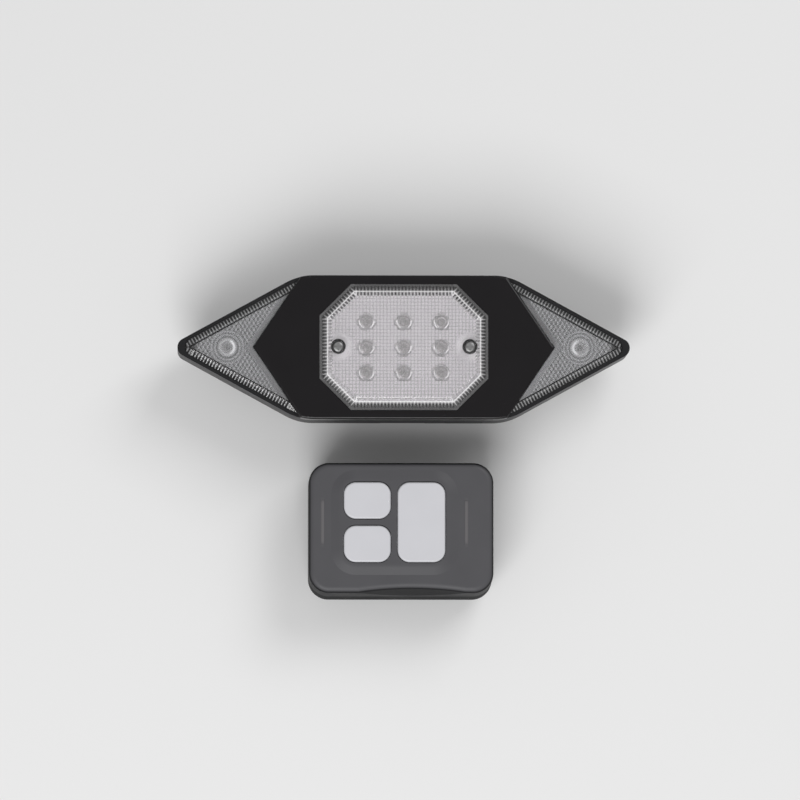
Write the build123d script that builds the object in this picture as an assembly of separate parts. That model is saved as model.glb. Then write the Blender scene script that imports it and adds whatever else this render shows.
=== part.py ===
from build123d import *
import math
import os

# Bicycle turn signal light with its wireless remote, lying on their backs.
# +X is the viewer's right, +Y is up when the light is fitted, +Z faces the viewer.
# The origin is the middle of the set, on the surface that it lies on.
# All lengths are in millimetres.

# The set
set_gap = 15.5               # between the light's lower edge and the remote
remote_shift = 0.8           # the remote's centre lies this far left of the light's
overrun = 1.0                # how far a cutting tool runs past the face it cuts
fit_gap = 0.15               # between fixed pieces that are glued or clipped together
moving_gap = 0.3             # between pieces of different bodies
running_gap = 0.1            # on each side of a sliding or turning fit

# Front outline of the light, about its own centre
light_half_height = 26.3
chevron_reach = 24.25        # from the centre lens to the point of the bezel
chevron_angle = 56.0         # degrees between a chevron arm and the X axis
wing_length = 31.16          # from the bezel's point to where the two wing edges would meet
wing_taper = 47.9            # from that meeting back to where the edges would meet the flats
tip_radius = 3.4
field_tip_radius = 1.0
shoulder_radius = 21.0

# Seat post bracket
post_radius = 15.9
post_seat_rise = 7.6         # top of the seat above the surface
post_seat_length = 30.0
post_pad_thickness = 1.5
post_pad_lift = 0.2          # the pad ends this far above the surface
cradle_crown = 2.1           # wall between the pad and the cradle's top
cradle_foot = 3.2            # wall beside the pad at the surface
cradle_shoulder = 14.5       # half width of the cradle's top
cradle_flank_rise = 6.0      # where the flank starts to slope in
slide_gap = 0.2              # between the cradle's top and the light's back
slot_depth = 3.8
slot_mouth = 14.0            # width of the dovetail slot at the light's back
slot_flare = 2.0             # how much wider each side is at the slot's floor
slot_cover = 1.8             # wall over and beside the slot
slot_end_gap = 0.3

# Strap and its pin
pin_radius = 1.5
pin_out = 4.8                # pin axis from the cradle's foot, outwards
pin_rise = 4.0               # pin axis above the surface
lug_radius = 3.4
lug_width = 4.0
lug_inset = 1.0              # from the cradle's ends
pin_head_radius = 2.4
pin_head = 0.8
strap_eye_radius = 3.1
strap_thickness = 2.2
strap_reach = 43.0           # from the pin axis to the strap's end
strap_rung_pitch = 6.5
strap_slot_length = 3.6
strap_rungs = 4
strap_first_slot = 9.5       # from the pin axis to the first slot's middle
strap_slot_width_share = 0.56
strap_tab_share = 0.24       # length of the ribbed pull tab, as a share of the reach
strap_rib = 0.5
strap_rib_pitch = 2.0
hook_width = 8.0
hook_reach = 4.0
hook_thickness = 2.2
hook_lip = 2.6

# Rear housing
rim_height = 4.6             # the wing rims above the parting line with the bezel
housing_floor = 2.2
housing_wall = 2.2
back_round = 3.0
rim_width = 1.3
lens_sink = 2.2              # the wing lens ledge lies this far below the rim
housing_screw_inset = 8.78   # from the chevron's arm, along X
housing_screw_edge = 7.4     # from the upper and lower flats
column_radius = 3.4
screw_radius = 1.25
screw_head_radius = 2.6
screw_head = 1.8
screw_sink = 0.3
screw_tip_gap = 0.5
screw_dome_share = 0.8       # how much of a screw head's height is rounded
lens_column_radius = 3.0

# Centre bezel
bezel_rise = 2.0             # the bezel's face above the wing rims
bezel_wall = 2.0
bezel_skin = 3.2
bezel_round = 0.8

# Octagonal centre lens
lens_half_width = 30.75
lens_border = 3.3            # between the lens and the upper and lower flats
lens_corner = 11.5           # each corner is cut by this much along both sides
lens_seat_depth = 1.6        # recess in the bezel's face
lens_seal = 0.6
lens_lip = 0.2               # plain edge above the bezel's face
lens_bevel_width = 2.7
lens_bevel_rise = 2.4
lens_ridge = 0.35
lens_step_width = 1.6
lens_step_rise = 0.8
lens_wall = 1.8
lens_face_thickness = 2.0
rib_pitch = 1.25
rib_depth = 0.45
rib_width_share = 0.76
rib_run_share = 0.96
window_inset = 2.0           # the bezel's window lies this far inside the lens outline
lens_screw_inset = 6.75      # from the lens's ends
lens_screw_recess = 2.68
lens_screw_sink = 2.2
lens_screw_head_radius = 2.2
lens_screw_head = 1.3
lens_post_wall = 0.9
lens_post_radius = 2.4
lens_screw_reach = 8.0       # length of the lens screw inside its column

# LEDs, reflectors and boards
led_radius = 2.5
led_flange_radius = 2.9
led_flange = 1.0
led_height = 8.6
led_column_share = 0.56875   # the outer columns' place on the way to the lens screws
led_row_share = 0.4429       # the outer rows' place on the way to the window's edge
led_hole_gap = 0.15
lens_led_gap = 0.25          # between the LED domes and the lens above them
board_thickness = 1.6
board_inset = 3.0            # the LED board lies this far inside the lens outline
reflector_flange = 1.2
reflector_flange_inset = 0.7
reflector_wall = 0.9
reflector_cup_radius = 3.3
wing_led_share = 0.2985      # the wing LED's place on the way from the bezel's point to the vertex
wing_board_length = 12.0
wing_board_gap = 1.7         # from its outer corners to the housing's wall
small_board = 1.2
wing_skin = 1.2
wing_reflector_drop = 0.9    # the wing reflector lies this far below its lens
wing_cup_radius = 4.2
wing_cup_wall = 1.0
wing_column_radius = 3.2

# Wing lenses
wing_edge_drop = 0.2         # the lens edge below the housing rim
wing_bevel_width = 2.2
wing_bevel_rise = 1.1
wing_line = 0.4              # groove between the ribbed band and the dotted field
wing_line_depth = 0.5
wing_lens_wall = 1.6
wing_lens_skin = 1.7
wing_rib_pitch = 1.2
wing_rib_depth = 0.35

# Power supply and controls of the light
cell_end_gap = 1.0           # from the pouch cell to the lens screw columns
cell_edge_gap = 1.2          # from the pouch cell to the housing screw columns and the socket
cell_thickness = 8.0
cell_round = 1.5
cell_pad = 3.15              # foam between the cell and the LED board
button_inset = 4.0           # from the control board's inner end
button_radius = 4.5
button_flange = 1.1
button_flange_thickness = 0.8
button_travel = 0.8
button_dimple = 0.5
switch_side = 6.0
switch_height = 3.2
switch_plunger_radius = 1.6
switch_plunger = 0.6
control_start = 9.0          # from the lens screw column to the control board
control_end = 3.1            # from the control board to the wing column
control_post_gap = 0.2       # between the button's flange and the board's posts
post_size = 1.5              # radius of the small board posts
post_inset = 2.0
radio_length = 12.0
radio_width = 8.0
radio_height = 2.4
radio_offset = 3.0
usb_width = 9.0
usb_height = 3.2
usb_length = 7.3
usb_shell = 0.35
usb_tongue = 0.7
usb_rise = 4.4               # the charging board above the light's back
usb_wall = 1.2
charge_width = 13.0
charge_length = 8.0
charge_gap = 1.1             # from the charging board to the housing screw column
cover_side = 2.0             # the cover is this much wider than the socket on each side
cover_rise = 2.2             # and this much higher
cover_thickness = 1.4
cover_barrel = 1.0
cover_sink = 0.1
cover_grip = 0.4
hinge_stub_radius = 0.6
hinge_stub = 0.8

# Remote
remote_width = 67.4
remote_height = 47.6         # at its face
remote_lean = 1.5            # its lower side comes out by this much from the face to the back
remote_corner = 7.4
remote_seam = 11.0           # from the back to the parting line
plateau_rise = 0.8
plateau_border = 1.2         # flat stretch round the keys, before the plateau slopes down
plateau_slope = 3.4          # width of that slope
plateau_soft = 6.0           # radius that softens its upper edge
remote_edge_round = 2.4
remote_wall = 1.8
remote_floor = 1.6
remote_skin = 2.0
back_edge_round = 1.6
scallop_chord = 46.0
scallop_sag = 2.0
scallop_run = 7.0            # how far down an upright side the thumb scallop would run out
scallop_x = 4.0              # its middle, right of the remote's
grip_line_out = 7.7          # a low raised line on each side of the keys
grip_line_length = 16.0
grip_line_radius = 1.2
grip_line_rise = 0.25
remote_screw_end = 4.7       # from the remote's ends
remote_screw_edge = 5.4      # from its upper and lower sides
remote_boss = 2.6
remote_screw_radius = 1.0
remote_head_radius = 1.9
remote_head = 1.2

# Keys
key_left = 12.75             # from the remote's left side to the small keys
key_right = 17.65            # from the tall key to its right side
key_above = 7.2              # from its upper side to the keys
key_below = 11.2
key_gap = 2.5
tall_key_extra = 0.3         # the tall key is this much wider than the small ones
key_corner = 4.4
key_clearance = 0.3
key_proud = 0.4
key_round = 0.7
key_flange = 0.85
key_flange_thickness = 1.0
key_travel = 1.0
key_stub_radius = 2.2
key_stub = 2.25
remote_board_gap = 0.4       # from the board to the shell's walls and screw columns
cell_pair_roof = 0.6         # between the cells and the board above them
remote_switch_height = 2.4

# Cells and door of the remote
cell_radius = 5.25
aaa_length = 44.5
nub_radius = 1.9
nub_length = 0.8
cell_side_gap = 0.4
contact_plate = 0.5
contact_gap = 0.9
bay_wall = 1.0                # wall round the cell bay
door_gap = 0.2
door_thickness = 1.6
door_edge = 1.2              # the door is this much wider than the cells on each side
door_tongue = 0.6            # how far the door's edges run into the shell's grooves
bar_radius = 15.9
bar_seat_length = 36.0
bar_pad_thickness = 1.2
bar_seat_rise = 7.1
bar_crown = 0.2              # wall between the bar's pad and the door
bar_pad_lift = 0.2
bar_foot = 2.6
bar_flank_rise = 4.6
bar_hook = 2.4
bar_hook_rise = 2.0
bar_hook_thickness = 1.6
bar_hook_length = 10.0
grip_ribs = 5
grip_pitch = 1.8
grip_depth = 0.5
grip_length_share = 0.6

# Heights and places that follow
chevron_vertex = lens_half_width + chevron_reach
wing_vertex = chevron_vertex + wing_length
wing_slope = math.atan2(light_half_height, wing_taper)
lens_half_height = light_half_height - lens_border
lens_screw_x = lens_half_width - lens_screw_inset
led_column_pitch = lens_screw_x * led_column_share
led_row_pitch = (lens_half_height - window_inset) * led_row_share
wing_led_x = chevron_vertex + wing_length * wing_led_share
housing_screw_y = light_half_height - housing_screw_edge
chevron_arm_x = chevron_vertex - housing_screw_y / math.tan(math.radians(chevron_angle))
housing_screw_x = chevron_arm_x - housing_screw_inset

key_field_width = remote_width - key_left - key_right
key_width = (key_field_width - key_gap - tall_key_extra) / 2
tall_key_width = key_width + tall_key_extra
tall_key_height = remote_height - key_above - key_below
key_height = (tall_key_height - key_gap) / 2
small_key_x = key_left + key_width / 2 - remote_width / 2
tall_key_x = remote_width / 2 - key_right - tall_key_width / 2
key_group_x = (key_left - key_right) / 2
key_group_y = (key_below - key_above) / 2
remote_screw_x = remote_width / 2 - remote_screw_end
remote_screw_y = remote_height / 2 - remote_screw_edge
remote_board_length = 2 * (remote_screw_x - remote_boss - remote_board_gap)
remote_board_width = remote_height - 2 * (remote_wall + scallop_sag + remote_board_gap)

set_height = 2 * light_half_height + set_gap + remote_height + remote_lean
light_y = set_height / 2 - light_half_height
remote_y = remote_lean + remote_height / 2 - set_height / 2

bracket_top = post_seat_rise + post_pad_thickness + cradle_crown
light_back = bracket_top + slide_gap
inner_floor = light_back + housing_floor
slot_floor = light_back + slot_depth
slot_roof = slot_floor + slot_cover
cell_top = slot_roof + cell_thickness
board_base = cell_top + cell_pad
led_base = board_base + board_thickness
lens_under = led_base + led_height + lens_led_gap
lens_face = lens_under + lens_face_thickness
lens_ridge_z = lens_face - lens_step_rise
lens_edge = lens_ridge_z - lens_bevel_rise
bezel_top = lens_edge - lens_lip
lens_floor = bezel_top - lens_seat_depth
lens_base = lens_floor + lens_seal
bezel_under = bezel_top - bezel_skin
rim_top = bezel_top - bezel_rise
seam = rim_top - rim_height
lens_ledge = rim_top - lens_sink
wing_edge = rim_top - wing_edge_drop
wing_field = wing_edge + wing_bevel_rise
wing_led_base = wing_field - wing_lens_skin - lens_led_gap - led_height

post_axis_z = post_seat_rise - post_radius
cradle_radius = post_radius + post_pad_thickness
cradle_half_foot = math.sqrt(cradle_radius ** 2 - post_axis_z ** 2) + cradle_foot
pin_x = -(cradle_half_foot + pin_out)

remote_back = bar_seat_rise + bar_pad_thickness + bar_crown
remote_seam_z = remote_back + remote_seam
cell_axis_z = remote_back + door_thickness + door_gap + cell_radius
remote_board_z = cell_axis_z + cell_radius + cell_pair_roof
remote_switch_top = remote_board_z + small_board + remote_switch_height
key_stub_low = remote_switch_top + key_travel + running_gap
key_flange_low = key_stub_low + key_stub
key_flange_top = key_flange_low + key_flange_thickness
front_hollow_top = key_flange_top + fit_gap
plateau_z = front_hollow_top + remote_skin
remote_face = plateau_z - plateau_rise
key_top = plateau_z + key_proud
door_half = 2 * cell_radius + cell_side_gap / 2 + door_edge
bar_axis_z = bar_seat_rise - bar_radius
bar_cradle_radius = bar_radius + bar_pad_thickness
bar_half_foot = math.sqrt(bar_cradle_radius ** 2 - bar_axis_z ** 2) + bar_foot


def prism(face, low, high):
    """A plan face carried straight up from one height to another."""
    return extrude(Pos(0, 0, low) * face, high - low)


def slab(x_low, x_high, y_low, y_high, z_low, z_high):
    """A block between two opposite corners."""
    size = (x_high - x_low, y_high - y_low, z_high - z_low)
    middle = Pos((x_low + x_high) / 2, (y_low + y_high) / 2, (z_low + z_high) / 2)
    return middle * Box(*size)


def rod(x, y, radius, low, high):
    """An upright cylinder."""
    return Pos(x, y, low) * Cylinder(radius, high - low, align=(Align.CENTER, Align.CENTER, Align.MIN))


def profile_along_y(points, y_low, y_high):
    """A closed outline in X and Z, carried along Y."""
    face = make_face(Plane.XZ * Polyline(*points, close=True))
    return Pos(0, y_high, 0) * extrude(face, y_high - y_low)


def bar_along_y(x, z, radius, y_low, y_high):
    """A cylinder that lies along Y."""
    upright = Cylinder(radius, y_high - y_low)
    return Pos(x, (y_low + y_high) / 2, z) * Rot(90, 0, 0) * upright


def bar_along_x(y, z, radius, x_low, x_high):
    """A cylinder that lies along X."""
    upright = Cylinder(radius, x_high - x_low)
    return Pos((x_low + x_high) / 2, y, z) * Rot(0, 90, 0) * upright


def mirrored_pair(x, y):
    """The four places of a screw pattern about the middle."""
    return [(x, y), (-x, y), (-x, -y), (x, -y)]


def light_outline(inset, tip=tip_radius):
    """The long hexagon of the light's front, moved in by inset, with rounded tips and shoulders."""
    vertex = wing_vertex - inset / math.sin(wing_slope)
    half_height = light_half_height - inset
    flat = vertex - half_height / math.tan(wing_slope)
    right = [(flat, -half_height), (vertex, 0), (flat, half_height)]
    left = [(-x, -y) for x, y in right]
    outline = make_face(Polyline(*right, *left, close=True))
    outline = fillet(outline.vertices().sort_by(Axis.X)[1:-1], shoulder_radius - inset)
    by_x = outline.vertices().sort_by(Axis.X)
    return fillet([by_x[0], by_x[-1]], tip)


def chevron_zone(grow):
    """The band between the two chevrons, with its edges moved outwards by grow."""
    angle = math.radians(chevron_angle)
    vertex = chevron_vertex + grow / math.sin(angle)
    reach = light_half_height + overrun
    arm = vertex - reach / math.tan(angle)
    right = [(arm, -reach), (vertex, 0), (arm, reach)]
    left = [(-x, -y) for x, y in right]
    return make_face(Polyline(*right, *left, close=True))


def octagon_points(inset):
    """Corners of the centre lens outline, moved in by inset, anticlockwise."""
    half_width = lens_half_width - inset
    half_height = lens_half_height - inset
    corner = lens_corner - inset * (2 - math.sqrt(2))
    right = [
        (half_width - corner, -half_height),
        (half_width, corner - half_height),
        (half_width, half_height - corner),
        (half_width - corner, half_height),
    ]
    return right + [(-x, -y) for x, y in right]


def octagon(inset):
    """The centre lens outline as a face."""
    return make_face(Polyline(*octagon_points(inset), close=True))


def slope_grooves(start, end, width, low, high, pitch, depth):
    """V grooves that run straight up a sloping side, so that ribs stand between them.

    start and end bound the ribbed stretch of the slope's lower edge, in plan, with the
    slope on their left. The slope moves inwards by width as it climbs from low to high.
    """
    along = Vector(end[0] - start[0], end[1] - start[1], 0)
    count = int(along.length / pitch)
    along = along.normalized()
    inward = Vector(-along.Y, along.X, 0)
    climb = inward * width + Vector(0, 0, high - low)
    run = climb.length * rib_run_share
    climb = climb.normalized()
    middle = Vector((start[0] + end[0]) / 2, (start[1] + end[1]) / 2, low)
    mouth = pitch * rib_width_share
    vee = [(-mouth, -depth), (mouth, -depth), (0, depth)]
    grooves = []
    for index in range(count):
        offset = (index - (count - 1) / 2) * pitch
        foot = middle + along * offset - climb * overrun
        plane = Plane(origin=foot, x_dir=along, z_dir=climb)
        face = make_face(plane * Polyline(*vee, close=True))
        grooves.append(extrude(face, run + overrun))
    return grooves


def led(x, y, base):
    """A round 5 mm LED with its flange and dome."""
    body = rod(x, y, led_radius, base, base + led_height - led_radius)
    body += rod(x, y, led_flange_radius, base, base + led_flange)
    dome = Pos(x, y, base + led_height - led_radius) * Sphere(led_radius)
    return body + dome


def screw(x, y, radius, head_radius, head, low, high, head_down):
    """A cross-head screw between two heights, with its head at the lower or the upper end."""
    shank = rod(x, y, radius, low, high)
    head_low = low if head_down else high - head
    cap = rod(x, y, head_radius, head_low, head_low + head)
    rim = cap.edges().group_by(Axis.Z)[0 if head_down else -1]
    cap = fillet(rim, head * screw_dome_share)
    recess_low = low - overrun if head_down else high - head / 2
    recess_high = low + head / 2 if head_down else high + overrun
    blade = head_radius / 4
    arm = head_radius * 2 / 3
    body = shank + cap
    body -= slab(x - arm, x + arm, y - blade / 2, y + blade / 2, recess_low, recess_high)
    body -= slab(x - blade / 2, x + blade / 2, y - arm, y + arm, recess_low, recess_high)
    return body


def frustum(lower, upper, low, high):
    """A ruled solid between two plan faces of like form at two heights."""
    return loft([Pos(0, 0, low) * lower, Pos(0, 0, high) * upper], ruled=True)


# Places in the rear housing that several pieces share
cover_width = usb_width + 2 * cover_side
cover_height = usb_height + 2 * cover_rise
recess_depth = cover_sink + 2 * cover_barrel + slide_gap
usb_x = housing_screw_x - column_radius - charge_gap - charge_width / 2
usb_board_z = light_back + usb_rise
usb_z = usb_board_z + small_board + usb_height / 2
usb_face_y = recess_depth + usb_wall - light_half_height
cover_low = usb_z - cover_height / 2
cover_high = usb_z + cover_height / 2
cover_axis_y = cover_sink + cover_barrel - light_half_height
cover_axis_z = cover_low + cover_barrel
cell_length = 2 * (lens_screw_x - lens_column_radius - cell_end_gap)
cell_room = min(housing_screw_y - column_radius, -usb_face_y - usb_length)
cell_width = 2 * (cell_room - cell_edge_gap)
control_low_x = lens_screw_x + lens_column_radius + control_start
control_high_x = wing_led_x - wing_column_radius - control_end
control_x = (control_low_x + control_high_x) / 2
control_length = control_high_x - control_low_x
button_x = control_low_x + button_inset
control_post_y = button_radius + button_flange + control_post_gap + post_size
control_width = 2 * (control_post_y + post_inset)
button_flange_top = inner_floor + running_gap + button_flange_thickness
plunger_low = button_flange_top + button_travel + running_gap
control_base = plunger_low + switch_plunger + switch_height
wing_shelf = rim_width + fit_gap + wing_bevel_width
wing_board_base = wing_led_base - small_board
wing_board_room = (wing_vertex - wing_led_x - wing_board_length / 2) * math.tan(wing_slope)
wing_board_width = 2 * (wing_board_room - housing_wall / math.cos(wing_slope) - wing_board_gap)
reflector_low = bezel_under - reflector_flange
lens_recess_floor = lens_face - lens_screw_sink
lens_cup_low = lens_recess_floor - lens_post_wall
lens_screw_low = board_base - lens_screw_reach
slot_end_y = post_seat_length / 2 + slot_end_gap


def control_posts():
    """Corners of the control board where its posts stand."""
    x_reach = control_length / 2 - post_inset
    return [(control_x + side * x_reach, end * control_post_y) for side in (-1, 1) for end in (-1, 1)]


def charge_posts():
    """The two posts under the charging board."""
    y = usb_face_y + charge_length - post_inset
    reach = charge_width / 2 - post_inset
    return [(usb_x - reach, y), (usb_x + reach, y)]


def make_rear_housing():
    """Black case: floor, walls, wing rims, dovetail slot, screw columns and board posts."""
    outer = prism(light_outline(0), light_back, rim_top)
    outer = fillet(outer.edges().group_by(Axis.Z)[0], back_round)
    shell = outer - prism(light_outline(housing_wall), inner_floor, seam)
    shell -= prism(light_outline(wing_shelf), seam, lens_ledge)
    shell -= prism(light_outline(rim_width), lens_ledge, rim_top + overrun)
    shell -= prism(chevron_zone(0), seam, rim_top + overrun)

    slot_side = slot_mouth / 2 + slot_flare + slot_cover
    inside = slab(
        -slot_side, slot_side,
        -light_half_height, slot_end_y + slot_cover,
        light_back, slot_roof,
    )
    for x, y in mirrored_pair(housing_screw_x, housing_screw_y):
        inside += rod(x, y, column_radius, light_back, seam)
    for side in (-1, 1):
        inside += rod(side * lens_screw_x, 0, lens_column_radius, light_back, board_base)
        inside += rod(side * wing_led_x, 0, wing_column_radius, light_back, wing_board_base)
    for x, y in control_posts():
        inside += rod(x, y, post_size, light_back, control_base)
    for x, y in charge_posts():
        inside += rod(x, y, post_size, light_back, usb_board_z)
    block_side = cover_width / 2 + slide_gap + usb_wall
    inside += slab(
        usb_x - block_side, usb_x + block_side,
        -light_half_height, usb_face_y,
        cover_low - slide_gap - usb_wall, cover_high + slide_gap + usb_wall,
    )
    shell += inside & outer

    half_mouth = slot_mouth / 2
    half_floor = half_mouth + slot_flare
    slot = [
        (-half_mouth, light_back - overrun),
        (half_mouth, light_back - overrun),
        (half_mouth, light_back),
        (half_floor, slot_floor),
        (-half_floor, slot_floor),
        (-half_mouth, light_back),
    ]
    cuts = [profile_along_y(slot, -light_half_height - overrun, slot_end_y)]
    head_top = light_back + screw_sink + screw_head
    for x, y in mirrored_pair(housing_screw_x, housing_screw_y):
        cuts.append(rod(x, y, screw_head_radius + fit_gap, light_back - overrun, head_top))
        cuts.append(rod(x, y, screw_radius + fit_gap, light_back, seam + overrun))
    for side in (-1, 1):
        x = side * lens_screw_x
        cuts.append(rod(x, 0, screw_radius + fit_gap, lens_screw_low - screw_tip_gap, board_base + overrun))
    cuts.append(rod(button_x, 0, button_radius + running_gap, light_back - overrun, inner_floor + overrun))
    recess_side = cover_width / 2 + slide_gap
    cuts.append(slab(
        usb_x - recess_side, usb_x + recess_side,
        -light_half_height - overrun, recess_depth - light_half_height,
        cover_low - slide_gap, cover_high + slide_gap,
    ))
    tunnel_side = usb_width / 2 + fit_gap
    tunnel_rise = usb_height / 2 + fit_gap
    cuts.append(slab(
        usb_x - tunnel_side, usb_x + tunnel_side,
        -light_half_height, usb_face_y + overrun,
        usb_z - tunnel_rise, usb_z + tunnel_rise,
    ))
    stub_reach = cover_width / 2 + hinge_stub + slide_gap
    cuts.append(bar_along_x(
        cover_axis_y, cover_axis_z, hinge_stub_radius + running_gap,
        usb_x - stub_reach, usb_x + stub_reach,
    ))
    return shell - cuts


def make_front_bezel():
    """Gloss black cover with pointed ends, a seat for the octagonal lens and a window under it."""
    cap = prism(light_outline(0), seam, bezel_top) & prism(chevron_zone(0), seam, bezel_top)
    cap = fillet(cap.edges().group_by(Axis.Z)[-1], bezel_round)
    hollow = prism(light_outline(bezel_wall), seam, bezel_under)
    hollow &= prism(chevron_zone(-bezel_wall), seam, bezel_under)
    cap -= hollow
    for x, y in mirrored_pair(housing_screw_x, housing_screw_y):
        cap += rod(x, y, column_radius, seam, bezel_under)
    cuts = [
        prism(octagon(-fit_gap), lens_floor, bezel_top + overrun),
        prism(octagon(window_inset), bezel_under - overrun, bezel_top),
    ]
    for x, y in mirrored_pair(housing_screw_x, housing_screw_y):
        cuts.append(rod(x, y, screw_radius + fit_gap, seam - overrun, bezel_under))
    return cap - cuts


def octagon_side_grooves(inset, width, low, high):
    """Ribs round one sloping band of the octagonal lens."""
    grooves = []
    lower = octagon_points(inset)
    upper = octagon_points(inset + width)
    count = len(lower)
    for index in range(count):
        start = Vector(*lower[index])
        end = Vector(*lower[(index + 1) % count])
        upper_length = (Vector(*upper[(index + 1) % count]) - Vector(*upper[index])).length
        along = (end - start).normalized()
        middle = (start + end) / 2
        half = along * (min(upper_length, (end - start).length) / 2)
        first = middle - half
        last = middle + half
        ends = ((first.X, first.Y), (last.X, last.Y))
        grooves += slope_grooves(*ends, width, low, high, rib_pitch, rib_depth)
    return grooves


def make_centre_lens():
    """Clear octagonal lens: ribbed bevel, ridge, ribbed step, flat face and two screw posts."""
    step_inset = lens_bevel_width + lens_ridge
    face_inset = step_inset + lens_step_width
    lens = prism(octagon(0), lens_base, lens_edge)
    lens += frustum(octagon(0), octagon(lens_bevel_width), lens_edge, lens_ridge_z)
    lens += frustum(octagon(step_inset), octagon(face_inset), lens_ridge_z, lens_face)
    lens -= frustum(octagon(lens_wall), octagon(step_inset), lens_base, lens_under)
    for side in (-1, 1):
        x = side * lens_screw_x
        lens += rod(x, 0, lens_screw_recess + lens_post_wall, lens_cup_low, lens_under)
        lens += rod(x, 0, lens_post_radius, bezel_under, lens_cup_low)
    cuts = []
    for side in (-1, 1):
        x = side * lens_screw_x
        cuts.append(rod(x, 0, lens_screw_recess, lens_recess_floor, lens_face + overrun))
        cuts.append(rod(x, 0, screw_radius + fit_gap, bezel_under - overrun, lens_face))
    cuts += octagon_side_grooves(0, lens_bevel_width, lens_edge, lens_ridge_z)
    cuts += octagon_side_grooves(step_inset, lens_step_width, lens_ridge_z, lens_face)
    return lens - cuts


def make_lens_seal():
    """Flat gasket between the octagonal lens and its seat."""
    ring = prism(octagon(0), lens_floor, lens_base)
    return ring - prism(octagon(lens_wall), lens_floor - overrun, lens_base + overrun)


def led_places():
    """The three rows of three LEDs behind the centre lens."""
    steps = (-1, 0, 1)
    return [(column * led_column_pitch, row * led_row_pitch) for row in steps for column in steps]


def make_centre_reflector():
    """White tray that fills the bezel's window, with a cup round each LED and two screw tubes."""
    tray = prism(octagon(reflector_flange_inset), reflector_low, bezel_under)
    rim_inset = window_inset + fit_gap
    tray += prism(octagon(rim_inset), bezel_under, lens_floor)
    tray -= prism(octagon(rim_inset + reflector_wall), bezel_under, lens_floor + overrun)
    for side in (-1, 1):
        tray += rod(side * lens_screw_x, 0, lens_post_radius, led_base, reflector_low)
    cuts = []
    for side in (-1, 1):
        x = side * lens_screw_x
        cuts.append(rod(x, 0, screw_radius + fit_gap, led_base - overrun, lens_floor))
        cuts.append(rod(x, 0, lens_post_radius + fit_gap, bezel_under, lens_floor + overrun))
    hole = led_radius + led_hole_gap
    for x, y in led_places():
        cup = Cone(hole, reflector_cup_radius, reflector_flange)
        cuts.append(Pos(x, y, (reflector_low + bezel_under) / 2) * cup)
        cuts.append(rod(x, y, hole, reflector_low - overrun, bezel_under))
    return tray - cuts


def make_led_board():
    """Board that carries the nine LEDs, clamped by the two lens screws."""
    board = prism(octagon(board_inset), board_base, led_base)
    holes = [
        rod(side * lens_screw_x, 0, screw_radius + fit_gap, board_base - overrun, led_base + overrun)
        for side in (-1, 1)
    ]
    return board - holes


def make_wing_lenses():
    """Both clear wing lenses: ribbed bevel, dark line and flat field, left one first."""
    edge = rim_width + fit_gap
    field = edge + wing_bevel_width
    body = prism(light_outline(edge), lens_ledge, wing_edge)
    body += frustum(light_outline(edge), light_outline(field, field_tip_radius), wing_edge, wing_field)
    line = prism(light_outline(field, field_tip_radius), wing_field - wing_line_depth, wing_field + overrun)
    line -= prism(light_outline(field + wing_line, field_tip_radius), lens_ledge, wing_field + overrun)
    under = wing_field - wing_lens_skin
    hollow = prism(light_outline(edge + wing_lens_wall), lens_ledge - overrun, under)
    hollow -= prism(chevron_zone(fit_gap + wing_lens_wall), lens_ledge - overrun, under)
    body -= [prism(chevron_zone(fit_gap), lens_ledge - overrun, wing_field + overrun), line, hollow]

    vertex = wing_vertex - edge / math.sin(wing_slope)
    whole_edge = (light_half_height - edge) / math.sin(wing_slope)
    near = tip_radius / math.tan(wing_slope)
    far = whole_edge - (shoulder_radius - edge) * math.tan(wing_slope / 2)
    start = (vertex - near * math.cos(wing_slope), near * math.sin(wing_slope))
    end = (vertex - far * math.cos(wing_slope), far * math.sin(wing_slope))
    sides = [(start, end)]
    sides.append(((-start[0], -start[1]), (-end[0], -end[1])))
    sides.append(((-end[0], end[1]), (-start[0], start[1])))
    sides.append(((end[0], -end[1]), (start[0], -start[1])))
    grooves = []
    for first, last in sides:
        grooves += slope_grooves(
            first, last, wing_bevel_width, wing_edge, wing_field, wing_rib_pitch, wing_rib_depth,
        )
    body -= grooves
    return body.solids().sort_by(Axis.X)


def make_wing_reflectors():
    """Both grey trays under the wing lenses, each with a cup down to its board, left one first."""
    top = lens_ledge - wing_reflector_drop
    low = top - wing_skin
    tray = prism(light_outline(wing_shelf + fit_gap), low, top)
    tray -= prism(chevron_zone(fit_gap), low - overrun, top + overrun)
    hole = led_flange_radius + led_hole_gap
    cups = []
    for side in (-1, 1):
        cup_height = low - wing_led_base
        cup = Cone(hole + wing_cup_wall, wing_cup_radius + wing_cup_wall, cup_height)
        tray += Pos(side * wing_led_x, 0, wing_led_base + cup_height / 2) * cup
        bowl_height = top - wing_led_base
        bowl = Cone(hole, wing_cup_radius, bowl_height)
        cups.append(Pos(side * wing_led_x, 0, wing_led_base + bowl_height / 2) * bowl)
    tray -= cups
    return tray.solids().sort_by(Axis.X)


def make_wing_boards():
    """One small board under each wing LED."""
    boards = []
    for side in (-1, 1):
        x = side * wing_led_x
        boards.append(slab(
            x - wing_board_length / 2, x + wing_board_length / 2,
            -wing_board_width / 2, wing_board_width / 2,
            wing_board_base, wing_led_base,
        ))
    return boards


def make_battery():
    """Pouch cell on the slot's roof, and the foam pad between it and the LED board."""
    cell = slab(
        -cell_length / 2, cell_length / 2,
        -cell_width / 2, cell_width / 2,
        slot_roof, cell_top,
    )
    cell = fillet(cell.edges().filter_by(Axis.Z), cell_round)
    pad = slab(
        -cell_length / 4, cell_length / 4,
        -cell_width / 4, cell_width / 4,
        cell_top, board_base,
    )
    return cell, pad


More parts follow.
